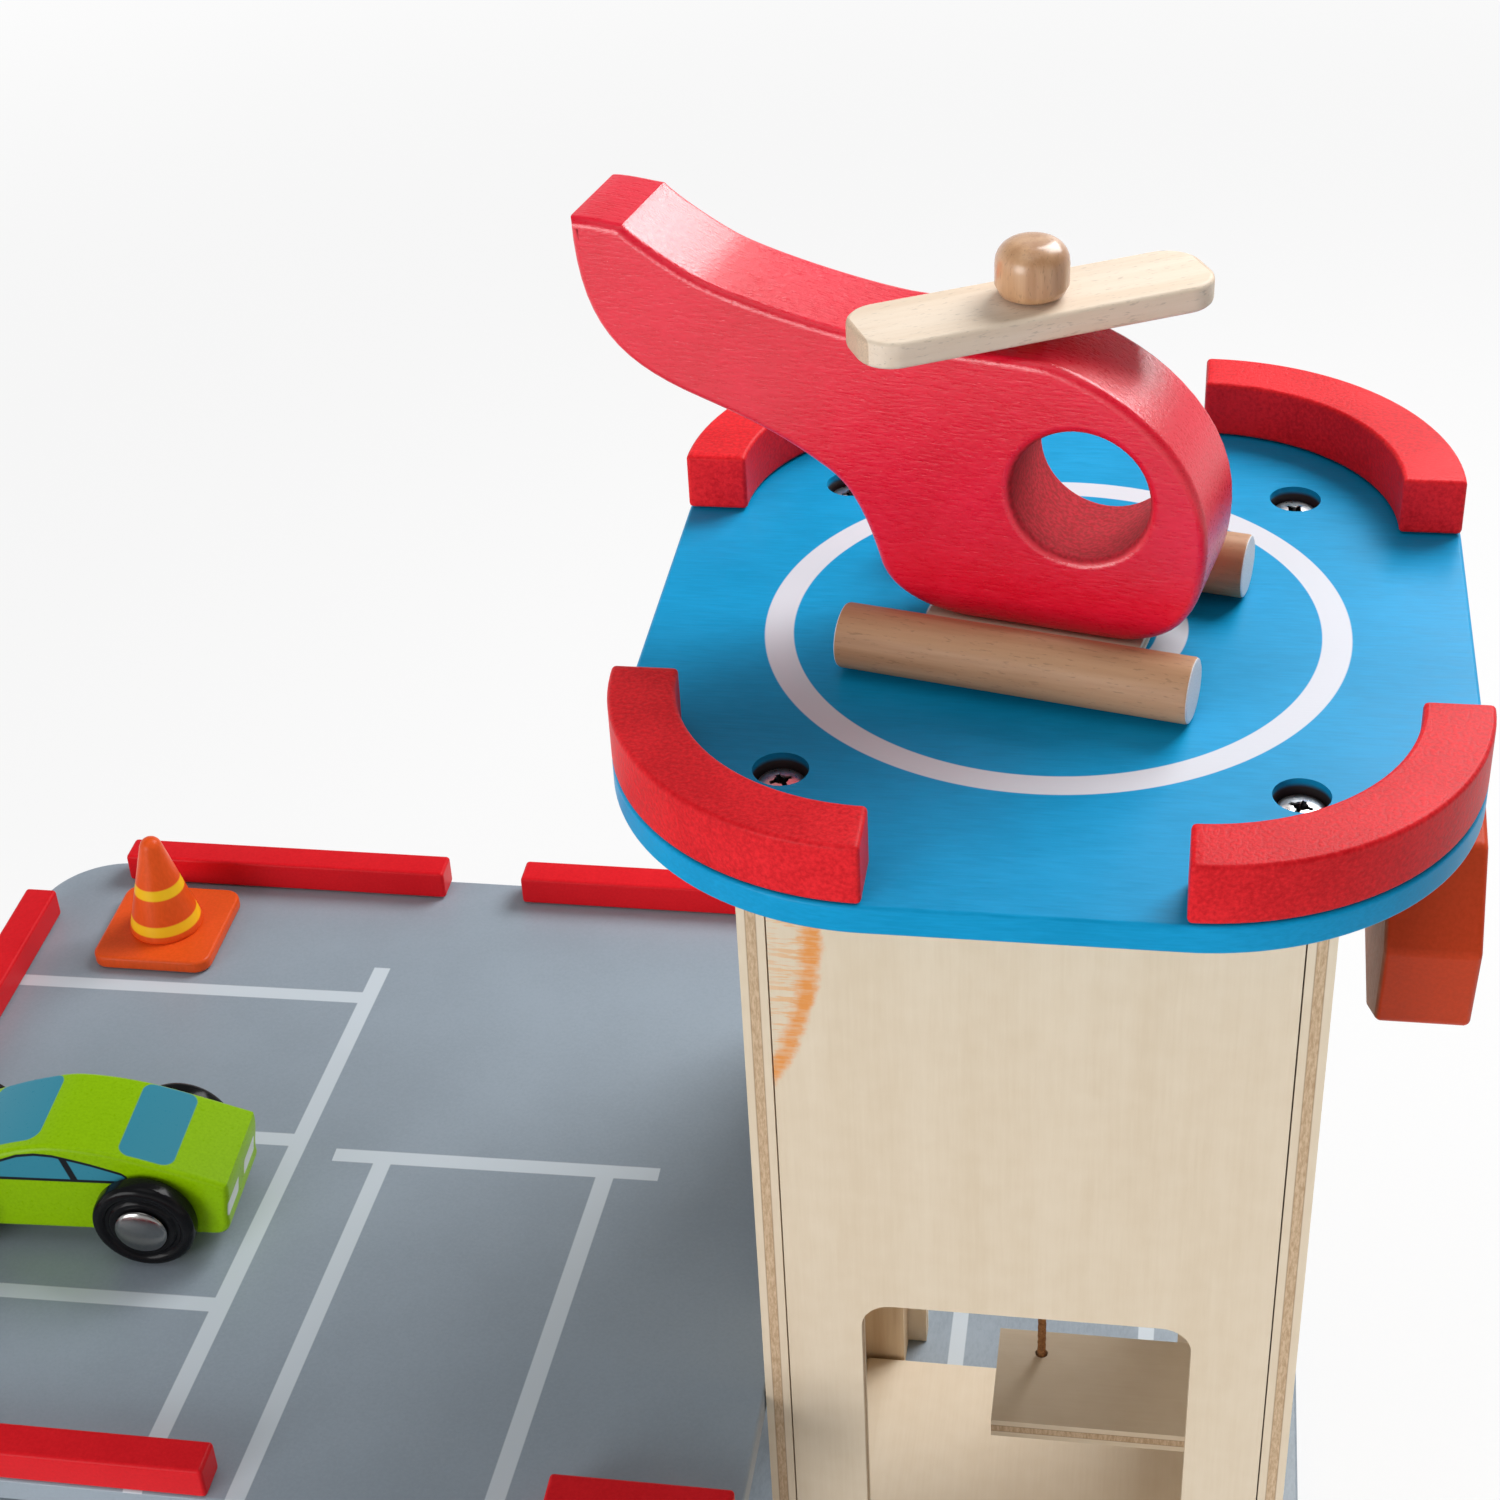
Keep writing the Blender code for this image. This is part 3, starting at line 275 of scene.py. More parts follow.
def three_ply(name, route, body, node, material):
    """A twisted cord along a route: a cross-section with three lobes that turns as it goes."""
    points = [Vector(point) for point in route]
    around = 18
    rings = []
    run = 0.0
    for i, point in enumerate(points):
        ahead = points[min(i + 1, len(points) - 1)] - points[max(i - 1, 0)]
        run += (point - points[i - 1]).length if i else 0.0
        side = side - ahead * side.dot(ahead) / ahead.length_squared if i else ahead.orthogonal()
        side = side.normalized()
        up = ahead.cross(side).normalized()
        twist = 2 * pi * run / CORD_LAY
        for step in range(around):
            angle = 2 * pi * step / around
            radius = CORD_RADIUS * (0.84 + 0.16 * abs(cos(1.5 * (angle - twist))))
            rings.append(point + (side * cos(angle) + up * sin(angle)) * radius)
    faces = [(r * around + s, r * around + (s + 1) % around, (r + 1) * around + (s + 1) % around,
              (r + 1) * around + s) for r in range(len(points) - 1) for s in range(around)]
    last = (len(points) - 1) * around
    faces += [tuple(reversed(range(around))), tuple(last + s for s in range(around))]
    mesh = bpy.data.meshes.new(name)
    mesh.from_pydata(rings, [], faces)
    mesh.polygons.foreach_set("use_smooth", [True] * len(faces))
    mesh.materials.append(material)
    cord = bpy.data.objects.new(name, mesh)
    bpy.context.scene.collection.objects.link(cord)
    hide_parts(node)
    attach(cord, body)
    return cord


CORD_TURNS = 2
TURN_STEPS = 60
winding_route = []
for step in range(CORD_TURNS * TURN_STEPS + 1):
    left = CORD_TURNS - step / TURN_STEPS
    winding_route.append((-WINDING_PITCH * left, WINDING_RADIUS * cos(2 * pi * left),
                          SHAFT_HEIGHT + WINDING_RADIUS * sin(2 * pi * left)))
winding_route += [(0, WINDING_RADIUS, SHAFT_HEIGHT - 0.001), (0, WINDING_RADIUS, SHAFT_HEIGHT - 0.002)]
three_ply("cord_winding", winding_route, "winch", "cord_turns", cord_material)

HANGING_STEPS = 150
hanging_route = [(0, WINDING_RADIUS, CORD_TOP + (CORD_FOOT - CORD_TOP) * step / HANGING_STEPS)
                 for step in range(HANGING_STEPS + 1)]
hanging = three_ply("cord_hanging", hanging_route, "garage", "lift_cord", cord_material)
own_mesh(hanging)

knot_low, knot_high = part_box("cord_knot")
knot_centre = (knot_low + knot_high) / 2
KNOT_STEPS = 72
knot_route = []
for step in range(KNOT_STEPS + 1):
    angle = 2 * pi * step / KNOT_STEPS
    knot_route.append(knot_centre + Vector((0.0011 * (sin(angle) + 0.6 * sin(2 * angle)),
                                            0.0013 * (cos(angle) - 0.6 * cos(2 * angle) + 0.396),
                                            0.0015 * sin(3 * angle))))
knot = three_ply("cord_knot_tied", knot_route, "lift", "cord_knot", cord_material)


# The ground board: 9 mm board under the whole toy, corners rounded, painted satin grey. A white lane
# line runs along each side of the lift. Four screws go up through it from counterbores below.
LINE_HALF = 0.002


def block(name, low, high):
    """A new box between two corners, active and the only thing selected."""
    bpy.ops.object.select_all(action="DESELECT")
    bpy.ops.mesh.primitive_cube_add(size=1.0, location=(Vector(low) + Vector(high)) / 2)
    piece = bpy.context.object
    piece.name = name
    piece.scale = Vector(high) - Vector(low)
    bpy.ops.object.transform_apply(location=True, rotation=True, scale=True)
    return piece


def choose(kind, parts, wanted):
    """Opens the active piece in edit mode, with only the edges or faces selected that pass a test."""
    bpy.ops.object.mode_set(mode="EDIT")
    bpy.ops.mesh.select_mode(type=kind)
    bpy.ops.mesh.select_all(action="DESELECT")
    bpy.ops.object.mode_set(mode="OBJECT")
    for part in parts:
        part.select = wanted(part)
    bpy.ops.object.mode_set(mode="EDIT")


def round_edges(piece, radius, segments, wanted):
    """Rounds the edges whose two ends pass a test."""
    points = piece.data.vertices
    choose("EDGE", piece.data.edges, lambda edge: wanted(*(points[i].co for i in edge.vertices)))
    bpy.ops.mesh.bevel(offset=radius, segments=segments, affect="EDGES")
    bpy.ops.object.mode_set(mode="OBJECT")


def ease_level_edges(piece, radius, segments=3):
    """Rounds the sharp edges round the top and the bottom of an upright piece."""
    low = min(v.co.z for v in piece.data.vertices)
    high = max(v.co.z for v in piece.data.vertices)
    round_edges(piece, radius, segments, lambda a, b: abs(a.z - b.z) < 1e-6 and
                (abs(a.z - low) < 1e-6 or abs(a.z - high) < 1e-6))


def pick(piece):
    """Makes the piece active and the only thing selected."""
    bpy.ops.object.select_all(action="DESELECT")
    piece.select_set(True)
    bpy.context.view_layer.objects.active = piece


def complete(piece, material, body, node, angle=32):
    """Shades a piece, gives it its material, hides the CAD solid it stands for and puts it on its body."""
    pick(piece)
    bpy.ops.object.shade_smooth_by_angle(angle=radians(angle))
    weighted = piece.modifiers.new("flat faces stay flat", "WEIGHTED_NORMAL")
    weighted.keep_sharp = True
    bpy.ops.object.modifier_apply(modifier=weighted.name)
    piece.data.materials.clear()
    piece.data.materials.append(material)
    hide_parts(node)
    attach(piece, body)


def combine(piece, other, operation="DIFFERENCE"):
    """Cuts another shape out of the piece, or joins it on, and removes the other shape."""
    pick(piece)
    boolean = piece.modifiers.new("combine", "BOOLEAN")
    boolean.operation = operation
    boolean.solver = "EXACT"
    boolean.object = other
    bpy.ops.object.modifier_apply(modifier=boolean.name)
    bpy.data.objects.remove(other, do_unlink=True)


def put(piece, matrix):
    """Moves a piece's mesh to its place, with its object left at the origin."""
    piece.data.transform(matrix)
    piece.data.update()


def bore(piece, radius, length, matrix, steps=48):
    """A round hole about the Z axis, taken to its place by a matrix."""
    bpy.ops.object.select_all(action="DESELECT")
    bpy.ops.mesh.primitive_cylinder_add(vertices=steps, radius=radius, depth=length)
    bit = bpy.context.object
    put(bit, matrix)
    combine(piece, bit)


def drill(piece, place, radius, depth, steps=48):
    """A round hole down from a place, or up from it where the depth is negative."""
    over = 0.001 if depth > 0 else -0.001
    middle = Vector(place) + Vector((0, 0, (over - depth) / 2))
    bore(piece, radius, abs(depth + over), Matrix.Translation(middle), steps)


def satin(name, colour, rough, brush=(1.0, 1.0, 1.0), depth=0.00002, fleck=0.10, coarse=1500.0):
    """Satin paint on wood: mottled, with fine bumps drawn out by the brush and the grain below.

    Gives the material, the place to paint marks by, the colour, and the coat: roughness, bump, depth.
    """
    material, place = new_material(name)
    grain = noise(scaled(place, brush), coarse, 3.0, 0.6)
    cloud = noise(place, 45.0, 3.0)
    shade = spread(grain * 0.55 + cloud * 0.45, 0.30, 0.70)
    dark = [c * (1 - fleck) for c in colour]
    light = [min(1.0, c * (1 + fleck) + 0.06 * fleck) for c in colour]
    roughness = spread(grain, 0.2, 0.8, rough - 0.06, rough + 0.06)
    return material, place, mix(shade, dark, light), (roughness, grain, depth)


def axes(place):
    """The three coordinates of a place."""
    parts = place.add("ShaderNodeSeparateXYZ", values={0: place}).socket.node.outputs
    return [Look(part) for part in parts]


WHITE_LINE = (0.62, 0.69, 0.75)
GREY = (0.300, 0.358, 0.418)


def stripe(value, middle, half=LINE_HALF, edge=0.00015):
    """A mask for a painted line of a half width about a middle."""
    return spread(abs(value - middle), half - edge, half + edge, 1.0, 0.0)


BOARD_CORNER = 0.020
BOARD_EASE = 0.0008
board_low, board_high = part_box("ground_board")
board = block("ground_plank", board_low, board_high)
round_edges(board, BOARD_CORNER, 24, lambda a, b: abs(a.z - b.z) > 0.005)
ease_level_edges(board, BOARD_EASE)
SCREW_X = 0.0445
SCREW_Y = 0.0506
SCREW_PLAN = {f"{end}_{side}": (x * SCREW_X, y * SCREW_Y)
              for end, y in (("front", -1), ("back", 1)) for side, x in (("left", -1), ("right", 1))}
BASE_SCREW_TOP = 0.001
COUNTERBORE = 0.005
BASE_COUNTERBORE_DEPTH = 0.0033
SHANK_HOLE = 0.0022
for x, y in SCREW_PLAN.values():
    drill(board, (x, y, 0.0), COUNTERBORE, -BASE_COUNTERBORE_DEPTH)
    drill(board, (x, y, 0.002), SHANK_HOLE, -0.008)
board_grey, place, colour, coat = satin("grey board paint", GREY, 0.42, (1.0, 0.3, 1.0))
x, y, z = axes(place)
LANE_HALF_GAP = 0.024
lanes = stripe(abs(x), LANE_HALF_GAP) * (z > board_high.z - 0.0005)
finish(board_grey, mix(lanes, colour, WHITE_LINE), *coat)
complete(board, board_grey, "garage", "ground_board")


# The lift tower: four 5 mm three-ply birch panels glued round four square posts. The side panels run
# past the front and back ones, so their edges show the three plies. One panel has a rust-brown streak.
PANEL_THICK = 0.005
STREAK_X = -0.0375
STREAK_TOP = 0.2375
STREAK_FOOT = 0.1985
GLUE_LINE = 0.185


def drawn_along(place, axis, share):
    """The place with one axis shortened, so that a pattern on it is drawn out along that axis."""
    return scaled(place, tuple(share if letter == axis else 1.0 for letter in "XYZ"))


def dress(node, material):
    """Gives a CAD piece its finish."""
    for slot in frame["nodes"][node].material_slots:
        slot.material = material


def birch_ply(node, along, through, thick=PANEL_THICK, streak=False):
    """Dresses a CAD piece in bare birch plywood: grain along one axis, plies stacked through another."""
    material, place = new_material(f"birch ply of {node}")
    drawn = drawn_along(place, along, 0.045)
    figure = noise(drawn, 120.0, 4.0, 0.55)
    pores = noise(drawn, 1500.0, 3.0, 0.7)
    ripple = noise(place, 210.0, 2.0, 0.4)
    wood = mix(spread(figure * 0.50 + pores * 0.25 + ripple * 0.25, 0.30, 0.70),
               (0.83, 0.705, 0.54), (0.765, 0.63, 0.46))
    axis = "XYZ".index(through)
    level = (axes(place)[axis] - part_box(node)[0][axis]) / thick
    from_core = abs(level - 0.5)
    inner = spread(from_core, GLUE_LINE - 0.015, GLUE_LINE + 0.015, 1.0, 0.0)
    glue = spread(abs(from_core - GLUE_LINE), 0.012, 0.035, 1.0, 0.0)
    ends = noise(drawn_along(place, "Z", 0.25), 1900.0, 3.0, 0.7)
    core = mix(spread(ends, 0.32, 0.68), (0.50, 0.33, 0.19), (0.70, 0.52, 0.34))
    wood = mix(inner, wood, core)
    wood = mix(glue * 0.55, wood, (0.33, 0.20, 0.11))
    if streak:
        x, y, z = axes(place)
        fall = (STREAK_TOP - z).at_least(0.0)
        wander = noise(place, 420.0, 3.0, 0.65)
        hairs = noise(drawn_along(place, "X", 0.12), 1500.0, 2.0, 0.6)
        drift = x - STREAK_X + fall * fall * 7.0 + (wander - 0.5) * 0.0030
        foot = spread(z, STREAK_FOOT, STREAK_FOOT + 0.0055)
        flame = spread(drift, -0.0042, -0.0014) * spread(drift, -0.0006, 0.0014, 1.0, 0.0) * foot
        strands = spread(drift, -0.0160, -0.0020) * spread(drift, -0.0010, 0.0004, 1.0, 0.0)
        strands = strands * spread(hairs, 0.50, 0.60) * foot
        wood = mix(strands * 0.6, wood, (0.84, 0.38, 0.10))
        wood = mix(flame * spread(hairs, 0.25, 0.60, 0.55, 0.92), wood, (0.84, 0.31, 0.06))
    finish(material, wood, spread(pores, 0.2, 0.8, 0.50, 0.66), pores * 0.6 + figure * 0.4, 0.00004,
           Specular_IOR_Level=0.35)
    dress(node, material)


for side, through in (("front", "Y"), ("back", "Y"), ("left", "X"), ("right", "X")):
    birch_ply(f"tower_{side}_panel", "Z", through, streak=side == "front")


# The tower's corner posts: 10 mm square birch, glued inside the panels' corners. They stiffen the tower
# and take the screws from the pad and from the ground board.
post_wood, place = new_material("birch post")
figure = noise(drawn_along(place, "Z", 0.05), 300.0, 4.0, 0.6)
wood = mix(spread(figure, 0.3, 0.7), (0.74, 0.57, 0.38), (0.62, 0.44, 0.27))
finish(post_wood, wood, 0.6, figure, 0.00004, Specular_IOR_Level=0.35)
for corner in SCREW_PLAN:
    dress(f"tower_post_{corner}", post_wood)


# The helicopter pad: 6 mm board with large round corners, brushed sky blue, with a white landing ring
# and a small ring in its middle. Four counterbores let the screw heads in.
PAD_CORNER = 0.050
pad_low, pad_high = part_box("helipad_board")
pad = block("pad_board", pad_low, pad_high)
round_edges(pad, PAD_CORNER, 40, lambda a, b: abs(a.z - b.z) > 0.003)
ease_level_edges(pad, BOARD_EASE)
PAD_SCREW_TOP = pad_high.z - 0.0022
PAD_COUNTERBORE_DEPTH = 0.0045
for x, y in SCREW_PLAN.values():
    drill(pad, (x, y, pad_high.z), COUNTERBORE, PAD_COUNTERBORE_DEPTH)
    drill(pad, (x, y, pad_high.z - 0.003), SHANK_HOLE, 0.004)


def off_centre(across, along):
    """How far a place is from where two coordinates are nought."""
    return across.add("ShaderNodeCombineXYZ", values={0: across, 1: along}).length()


pad_blue, place, colour, coat = satin("brushed blue paint", (0.0, 0.315, 0.62), 0.36, (0.10, 1.0, 1.0),
                                      0.00003, 0.09, 1900.0)
x, y, z = axes(place)
reach = off_centre(x, y)
LANDING_RING = 0.0515
MIDDLE_RING = 0.0217
RING_WHITE = (0.68, 0.71, 0.77)
BORE_PAINTED_SHADE = (0.050, 0.040, 0.040)
rings = stripe(reach, LANDING_RING, 0.0027) + stripe(reach, MIDDLE_RING, 0.0028)
rings = rings * (z > pad_high.z - 0.0004)
# The counterbores' walls are coloured near black: painted shade inside the holes.
bore_painted_shade = off_centre(abs(x) - SCREW_X, abs(y) - SCREW_Y) < COUNTERBORE + 0.00015
bore_painted_shade = bore_painted_shade * spread(z, pad_high.z - 0.0019, pad_high.z - 0.0008, 1.0, 0.0)
finish(pad_blue, mix(bore_painted_shade, mix(rings, colour, RING_WHITE), BORE_PAINTED_SHADE), *coat, Specular_IOR_Level=0.12)
complete(pad, pad_blue, "garage", "helipad_board")


# The pad's four bumpers: quarter rings sawn from 12 mm board, flush with the pad's corners, painted
# bright red on wood that stays a little rough, with eased edges.
RED = (0.70, 0.007, 0.014)
BUMPER_OUTER = PAD_CORNER
BUMPER_WIDTH = 0.012
BUMPER_EASE = 0.0009
bumper_red, place, colour, coat = satin("red paint", RED, 0.42, depth=0.00010, fleck=0.22, coarse=1300.0)
finish(bumper_red, colour, *coat, Specular_IOR_Level=0.12)


def turn_faces_out():
    """Points every face of the piece in edit mode outwards and leaves edit mode."""
    bpy.ops.mesh.select_all(action="SELECT")
    bpy.ops.mesh.normals_make_consistent(inside=False)
    bpy.ops.object.mode_set(mode="OBJECT")


def quarter_ring(name, centre, low, high, start):
    """A square section spun a quarter turn about a corner's centre, with its edges eased."""
    bpy.ops.object.select_all(action="DESELECT")
    middle = BUMPER_OUTER - BUMPER_WIDTH / 2
    start_place = (centre[0] + middle, centre[1], (low + high) / 2)
    bpy.ops.mesh.primitive_plane_add(size=1.0, location=start_place, rotation=(pi / 2, 0, 0))
    ring = bpy.context.object
    ring.name = name
    ring.scale = (BUMPER_WIDTH, high - low, 1.0)
    bpy.ops.object.transform_apply(location=True, rotation=True, scale=True)
    bpy.ops.object.mode_set(mode="EDIT")
    bpy.ops.mesh.select_all(action="SELECT")
    bpy.ops.mesh.spin(steps=30, angle=-pi / 2, center=(*centre, 0.0), axis=(0, 0, 1))
    turn_faces_out()
    to_centre = Matrix.Translation((*centre, 0))
    put(ring, to_centre @ Matrix.Rotation(start, 4, "Z") @ to_centre.inverted())
    round_edges(ring, BUMPER_EASE, 3, lambda a, b: sharp_edge(a, b, centre, low, high))
    return ring


def sharp_edge(a, b, centre, low, high):
    """True on the long edges and on the end faces' edges of a quarter ring."""
    near = 1e-5
    radii = (BUMPER_OUTER, BUMPER_OUTER - BUMPER_WIDTH)
    at_ends = [min(abs(p.x - centre[0]), abs(p.y - centre[1])) < near for p in (a, b)]
    levels = [min(abs(p.z - low), abs(p.z - high)) < near for p in (a, b)]
    rims = [min(abs(hypot(p.x - centre[0], p.y - centre[1]) - r) for r in radii) < near for p in (a, b)]
    along = all(levels) and all(rims) and abs(a.z - b.z) < 1e-6 and (a - b).length < 0.008
    return along or all(at_ends)


CORNER_TURNS = {"back_right": 0.0, "back_left": pi / 2, "front_left": pi, "front_right": 1.5 * pi}
for corner, start in CORNER_TURNS.items():
    low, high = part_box(f"bumper_{corner}")
    x = low.x + BUMPER_OUTER if "left" in corner else high.x - BUMPER_OUTER
    y = low.y + BUMPER_OUTER if "front" in corner else high.y - BUMPER_OUTER
    ring = quarter_ring(f"bumper_ring_{corner}", (x, y), low.z, high.z, start)
    complete(ring, bumper_red, "garage", f"bumper_{corner}")


# The tower's screws: zinc-plated pan heads with a cross recess, four through the pad and four through
# the ground board. The heads are pressed with a slight dome and the recess narrows to its floor.
SCREW_HEAD = 0.00425
SCREW_SHANK = 0.0018
SCREW_DOME = 0.0008
RECESS_REACH = 0.0031
steel, place = new_material("bright zinc")
x, y, z = axes(place)
from_axis = off_centre(abs(x) - SCREW_X, abs(y) - SCREW_Y)
# Inside the cross recess the zinc is coloured near black: painted shade in the recess.
recess_painted_shade = (from_axis < RECESS_REACH) * (z < PAD_SCREW_TOP - 0.0004) * (z > BASE_SCREW_TOP + 0.0004)
brushed = noise(place, 900.0, 2.0)
zinc = mix(brushed, (0.86, 0.85, 0.83), (0.95, 0.94, 0.92))
finish(steel, mix(recess_painted_shade, zinc, (0.05, 0.045, 0.04)), spread(brushed, 0.2, 0.8, 0.26, 0.36),
       brushed, 0.000004, Metallic=1.0)


def lathe(name, profile, steps=64):
    """A turned piece on the Z axis: a disc drawn up or down through (radius, height) pairs."""
    radius, height = profile[0]
    bpy.ops.object.select_all(action="DESELECT")
    bpy.ops.mesh.primitive_circle_add(vertices=steps, radius=radius, fill_type="NGON",
                                      location=(0, 0, height))
    piece = bpy.context.object
    piece.name = name
    bpy.ops.object.transform_apply(location=True)
    bpy.ops.object.mode_set(mode="EDIT")
    bpy.ops.mesh.select_all(action="SELECT")
    for wide, high in profile[1:]:
        bpy.ops.mesh.extrude_region_move(TRANSFORM_OT_translate={"value": (0, 0, high - height)})
        bpy.ops.transform.resize(value=(wide / radius, wide / radius, 1.0), center_override=(0, 0, high))
        radius, height = wide, high
    turn_faces_out()
    return piece


def arc(radius, height, wide, tall, degrees):
    """A profile's (radius, height) pairs on an arc about a point, by their angles above the level."""
    return [(radius + wide * cos(radians(d)), height + tall * sin(radians(d))) for d in degrees]


def cross_screw(name, turn):
    """A pan-head screw along Z, the top of its head at height 0, its recess turned about Z."""
    shank = [(0.0003, -0.0200), (SCREW_SHANK, -0.0164), (SCREW_SHANK, -0.0020)]
    rim = [(SCREW_HEAD - 0.0002, -0.0020), (SCREW_HEAD, -0.0018), (SCREW_HEAD, -0.0010)]
    dome = arc(0.0, -SCREW_DOME, SCREW_HEAD, SCREW_DOME, [90 - 180 / part for part in (2, 2.6, 3.6, 6, 14)])
    screw = lathe(name, shank + rim + dome, 48)
    for quarter in (0.0, pi / 2):
        slot = block("slot", (-0.0027, -0.00052, -0.0015), (0.0027, 0.00052, 0.001))
        choose("FACE", slot.data.polygons, lambda face: face.normal.z < -0.9)
        bpy.ops.transform.resize(value=(0.55, 0.7, 1.0), center_override=(0, 0, -0.0015))
        bpy.ops.object.mode_set(mode="OBJECT")
        put(slot, Matrix.Rotation(turn + quarter, 4, "Z"))
        combine(screw, slot)
    pit = lathe("pit", [(0.0005, -0.0021), (0.00125, -0.0004), (0.0014, 0.001)], 24)
    combine(screw, pit)
    return screw


PAD_SCREW_TURNS = {"front_left": 30, "front_right": -22, "back_left": 12, "back_right": 48}
for corner, (x, y) in SCREW_PLAN.items():
    screw = cross_screw(f"pad_screw_{corner}", radians(PAD_SCREW_TURNS[corner]))
    put(screw, Matrix.Translation((x, y, PAD_SCREW_TOP)))
    complete(screw, steel, "garage", f"helipad_screw_{corner}")
    screw = cross_screw(f"board_screw_{corner}", radians(-PAD_SCREW_TURNS[corner]))
    put(screw, Matrix.Translation((x, y, BASE_SCREW_TOP)) @ Matrix.Rotation(pi, 4, "X"))
    complete(screw, steel, "garage", f"base_screw_{corner}")


# The parking deck: 6 mm board painted like the ground board, its two outer corners rounded. The white
# lines, bays on its left half and two lanes that run forward to the ramp, are painted a little askew.
deck_low, deck_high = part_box("parking_deck")
deck = block("deck_board", deck_low, deck_high)
round_edges(deck, BOARD_CORNER, 24, lambda a, b: abs(a.z - b.z) > 0.003 and a.x < deck_low.x + 0.001)
ease_level_edges(deck, BOARD_EASE)
deck_grey, place, colour, coat = satin("grey deck paint", GREY, 0.36, depth=0.000012, fleck=0.05)
LANES_ASKEW = 0.042
BAYS_ASKEW = 0.017
BAYS_X = -0.17
BAY_LINES = (0.0522, 0.0017, -0.0495)
BAY_EDGE = -0.1687
BAY_EDGE_END = 0.0638
LANE_LINES = (-0.1477, -0.0968)
CROSS_BAR = -0.0022
CROSS_BAR_ENDS = (-0.1595, -0.0850)
x, y, z = axes(place)
lean = x - y * LANES_ASKEW
level = y - (x - BAYS_X) * BAYS_ASKEW
bays = sum(stripe(level, middle) for middle in BAY_LINES) * (lean < BAY_EDGE)
bay_edge = stripe(lean, BAY_EDGE) * (y < BAY_EDGE_END)
cross_bar = stripe(level, CROSS_BAR) * (x > CROSS_BAR_ENDS[0]) * (x < CROSS_BAR_ENDS[1])
lanes = sum(stripe(lean, middle) for middle in LANE_LINES) * (level < CROSS_BAR + 0.0007)
marks = bays + bay_edge + cross_bar + lanes
painted = marks.sum("MINIMUM", marks, 1.0) * (z > deck_high.z - 0.0004)
finish(deck_grey, mix(painted, colour, WHITE_LINE), *coat)
complete(deck, deck_grey, "garage", "parking_deck")


# The deck's edge rails: 8 mm square bars glued on its back, left and front edges. They are planed
# smooth before painting, so their red is more even than the bumpers'.
RAIL_EASE = 0.0009
rail_red, place, colour, coat = satin("smooth red paint", RED, 0.38, fleck=0.07)
finish(rail_red, colour, *coat, Specular_IOR_Level=0.12)
for node in ("rail_back_left", "rail_back_right", "rail_left", "rail_front_left", "rail_front_right"):
    low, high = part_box(node)
    bar = block(node.replace("rail", "rail_bar"), low, high)
    round_edges(bar, RAIL_EASE, 3, lambda a, b: True)
    complete(bar, rail_red, "garage", node)


# What carries the deck: four 20 mm beech dowels on the ground board, and a birch ledge glued to the
# tower's left panel.
def beech(name, along, home=(0, 0, 0), turn=0.0, light=(0.78, 0.60, 0.43), dark=(0.60, 0.40, 0.25),
          reach=None, end=(0.70, 0.58, 0.46)):
    """Bare beech: fine grain along one axis, short dark flecks, and end grain past its reach."""
    material, place = new_material(name)
    local = scaled(place, home=home, turn=turn)
    figure = noise(drawn_along(local, along, 0.05), 260.0, 4.0, 0.6)
    flecks = noise(drawn_along(local, along, 0.22), 2300.0, 2.0, 0.5)
    wood = mix(spread(figure, 0.30, 0.70), light, dark)
    wood = mix(spread(flecks, 0.60, 0.72) * 0.45, wood, [c * 0.55 for c in dark])
    if reach is not None:
        pits = noise(local, 3200.0, 3.0, 0.6)
        end_grain = mix(spread(pits, 0.3, 0.7), end, [c * 0.8 for c in end])
        wood = mix(abs(axes(local)["XYZ".index(along)]) > reach, wood, end_grain)
    return finish(material, wood, spread(figure, 0.2, 0.8, 0.45, 0.6), figure * 0.5 + flecks * 0.5, 0.00004,
                  Specular_IOR_Level=0.4)


def rod(name, radius, low, high, ease, step=0.0002, sides=64):
    """A turned rod between two heights, each end eased by a small and a smaller slope."""
    foot = [(radius - ease, low), (radius - 0.0002, low + step), (radius, low + ease)]
    top = [(radius, high - ease), (radius - 0.0002, high - step), (radius - ease, high)]
    return lathe(name, foot + top, sides)


dowel_wood = beech("upright beech", "Z")
for corner in CORNER_TURNS:
    low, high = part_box(f"deck_post_{corner}")
    dowel = rod(f"post_dowel_{corner}", (high.x - low.x) / 2, board_high.z + 0.0001, deck_low.z - 0.0001,
                0.0008, 0.0003)
    put(dowel, Matrix.Translation(((low.x + high.x) / 2, (low.y + high.y) / 2, 0)))
    complete(dowel, dowel_wood, "garage", f"deck_post_{corner}")
birch_ply("deck_ledge", "Y", "Z", 0.010)


# The ramp: a 6 mm board bevelled to the table, in the deck's grey with the two lane lines carried on,
# over a ply block whose pegs plug into a strip under the deck's front edge.
RAMP_RUN = 0.260
RAMP_LINE_INSET = 0.0045
ramp_grey, place, colour, coat = satin("grey ramp paint", GREY, 0.38, depth=0.000015, fleck=0.06)
x, y, z = axes(place)
ramp_low, ramp_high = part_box("ramp_board")
from_middle = abs(x - (ramp_low.x + ramp_high.x) / 2)
edge_lines = stripe(from_middle, (ramp_high.x - ramp_low.x) / 2 - RAMP_LINE_INSET)
above_slope = z - (ramp_high.z + (y - ramp_high.y) * (ramp_high.z / RAMP_RUN))
finish(ramp_grey, mix(edge_lines * (above_slope > -0.0012), colour, WHITE_LINE), *coat)
dress("ramp_board", ramp_grey)
birch_ply("ramp_end_block", "X", "Z", 0.0131)
birch_ply("ramp_socket_strip", "X", "Z", 0.0132)


# The winch: a 12 mm beech dowel through both side panels, two turned collars that keep it in place,
# and an eight-sided knob, orange-red on its facets, with brown wood left bare on its inner face.
def along_x(x):
    """Turns a piece from Z to X and moves it to the shaft's line."""
    return Matrix.Translation((x, 0, SHAFT_HEIGHT)) @ Matrix.Rotation(pi / 2, 4, "Y")


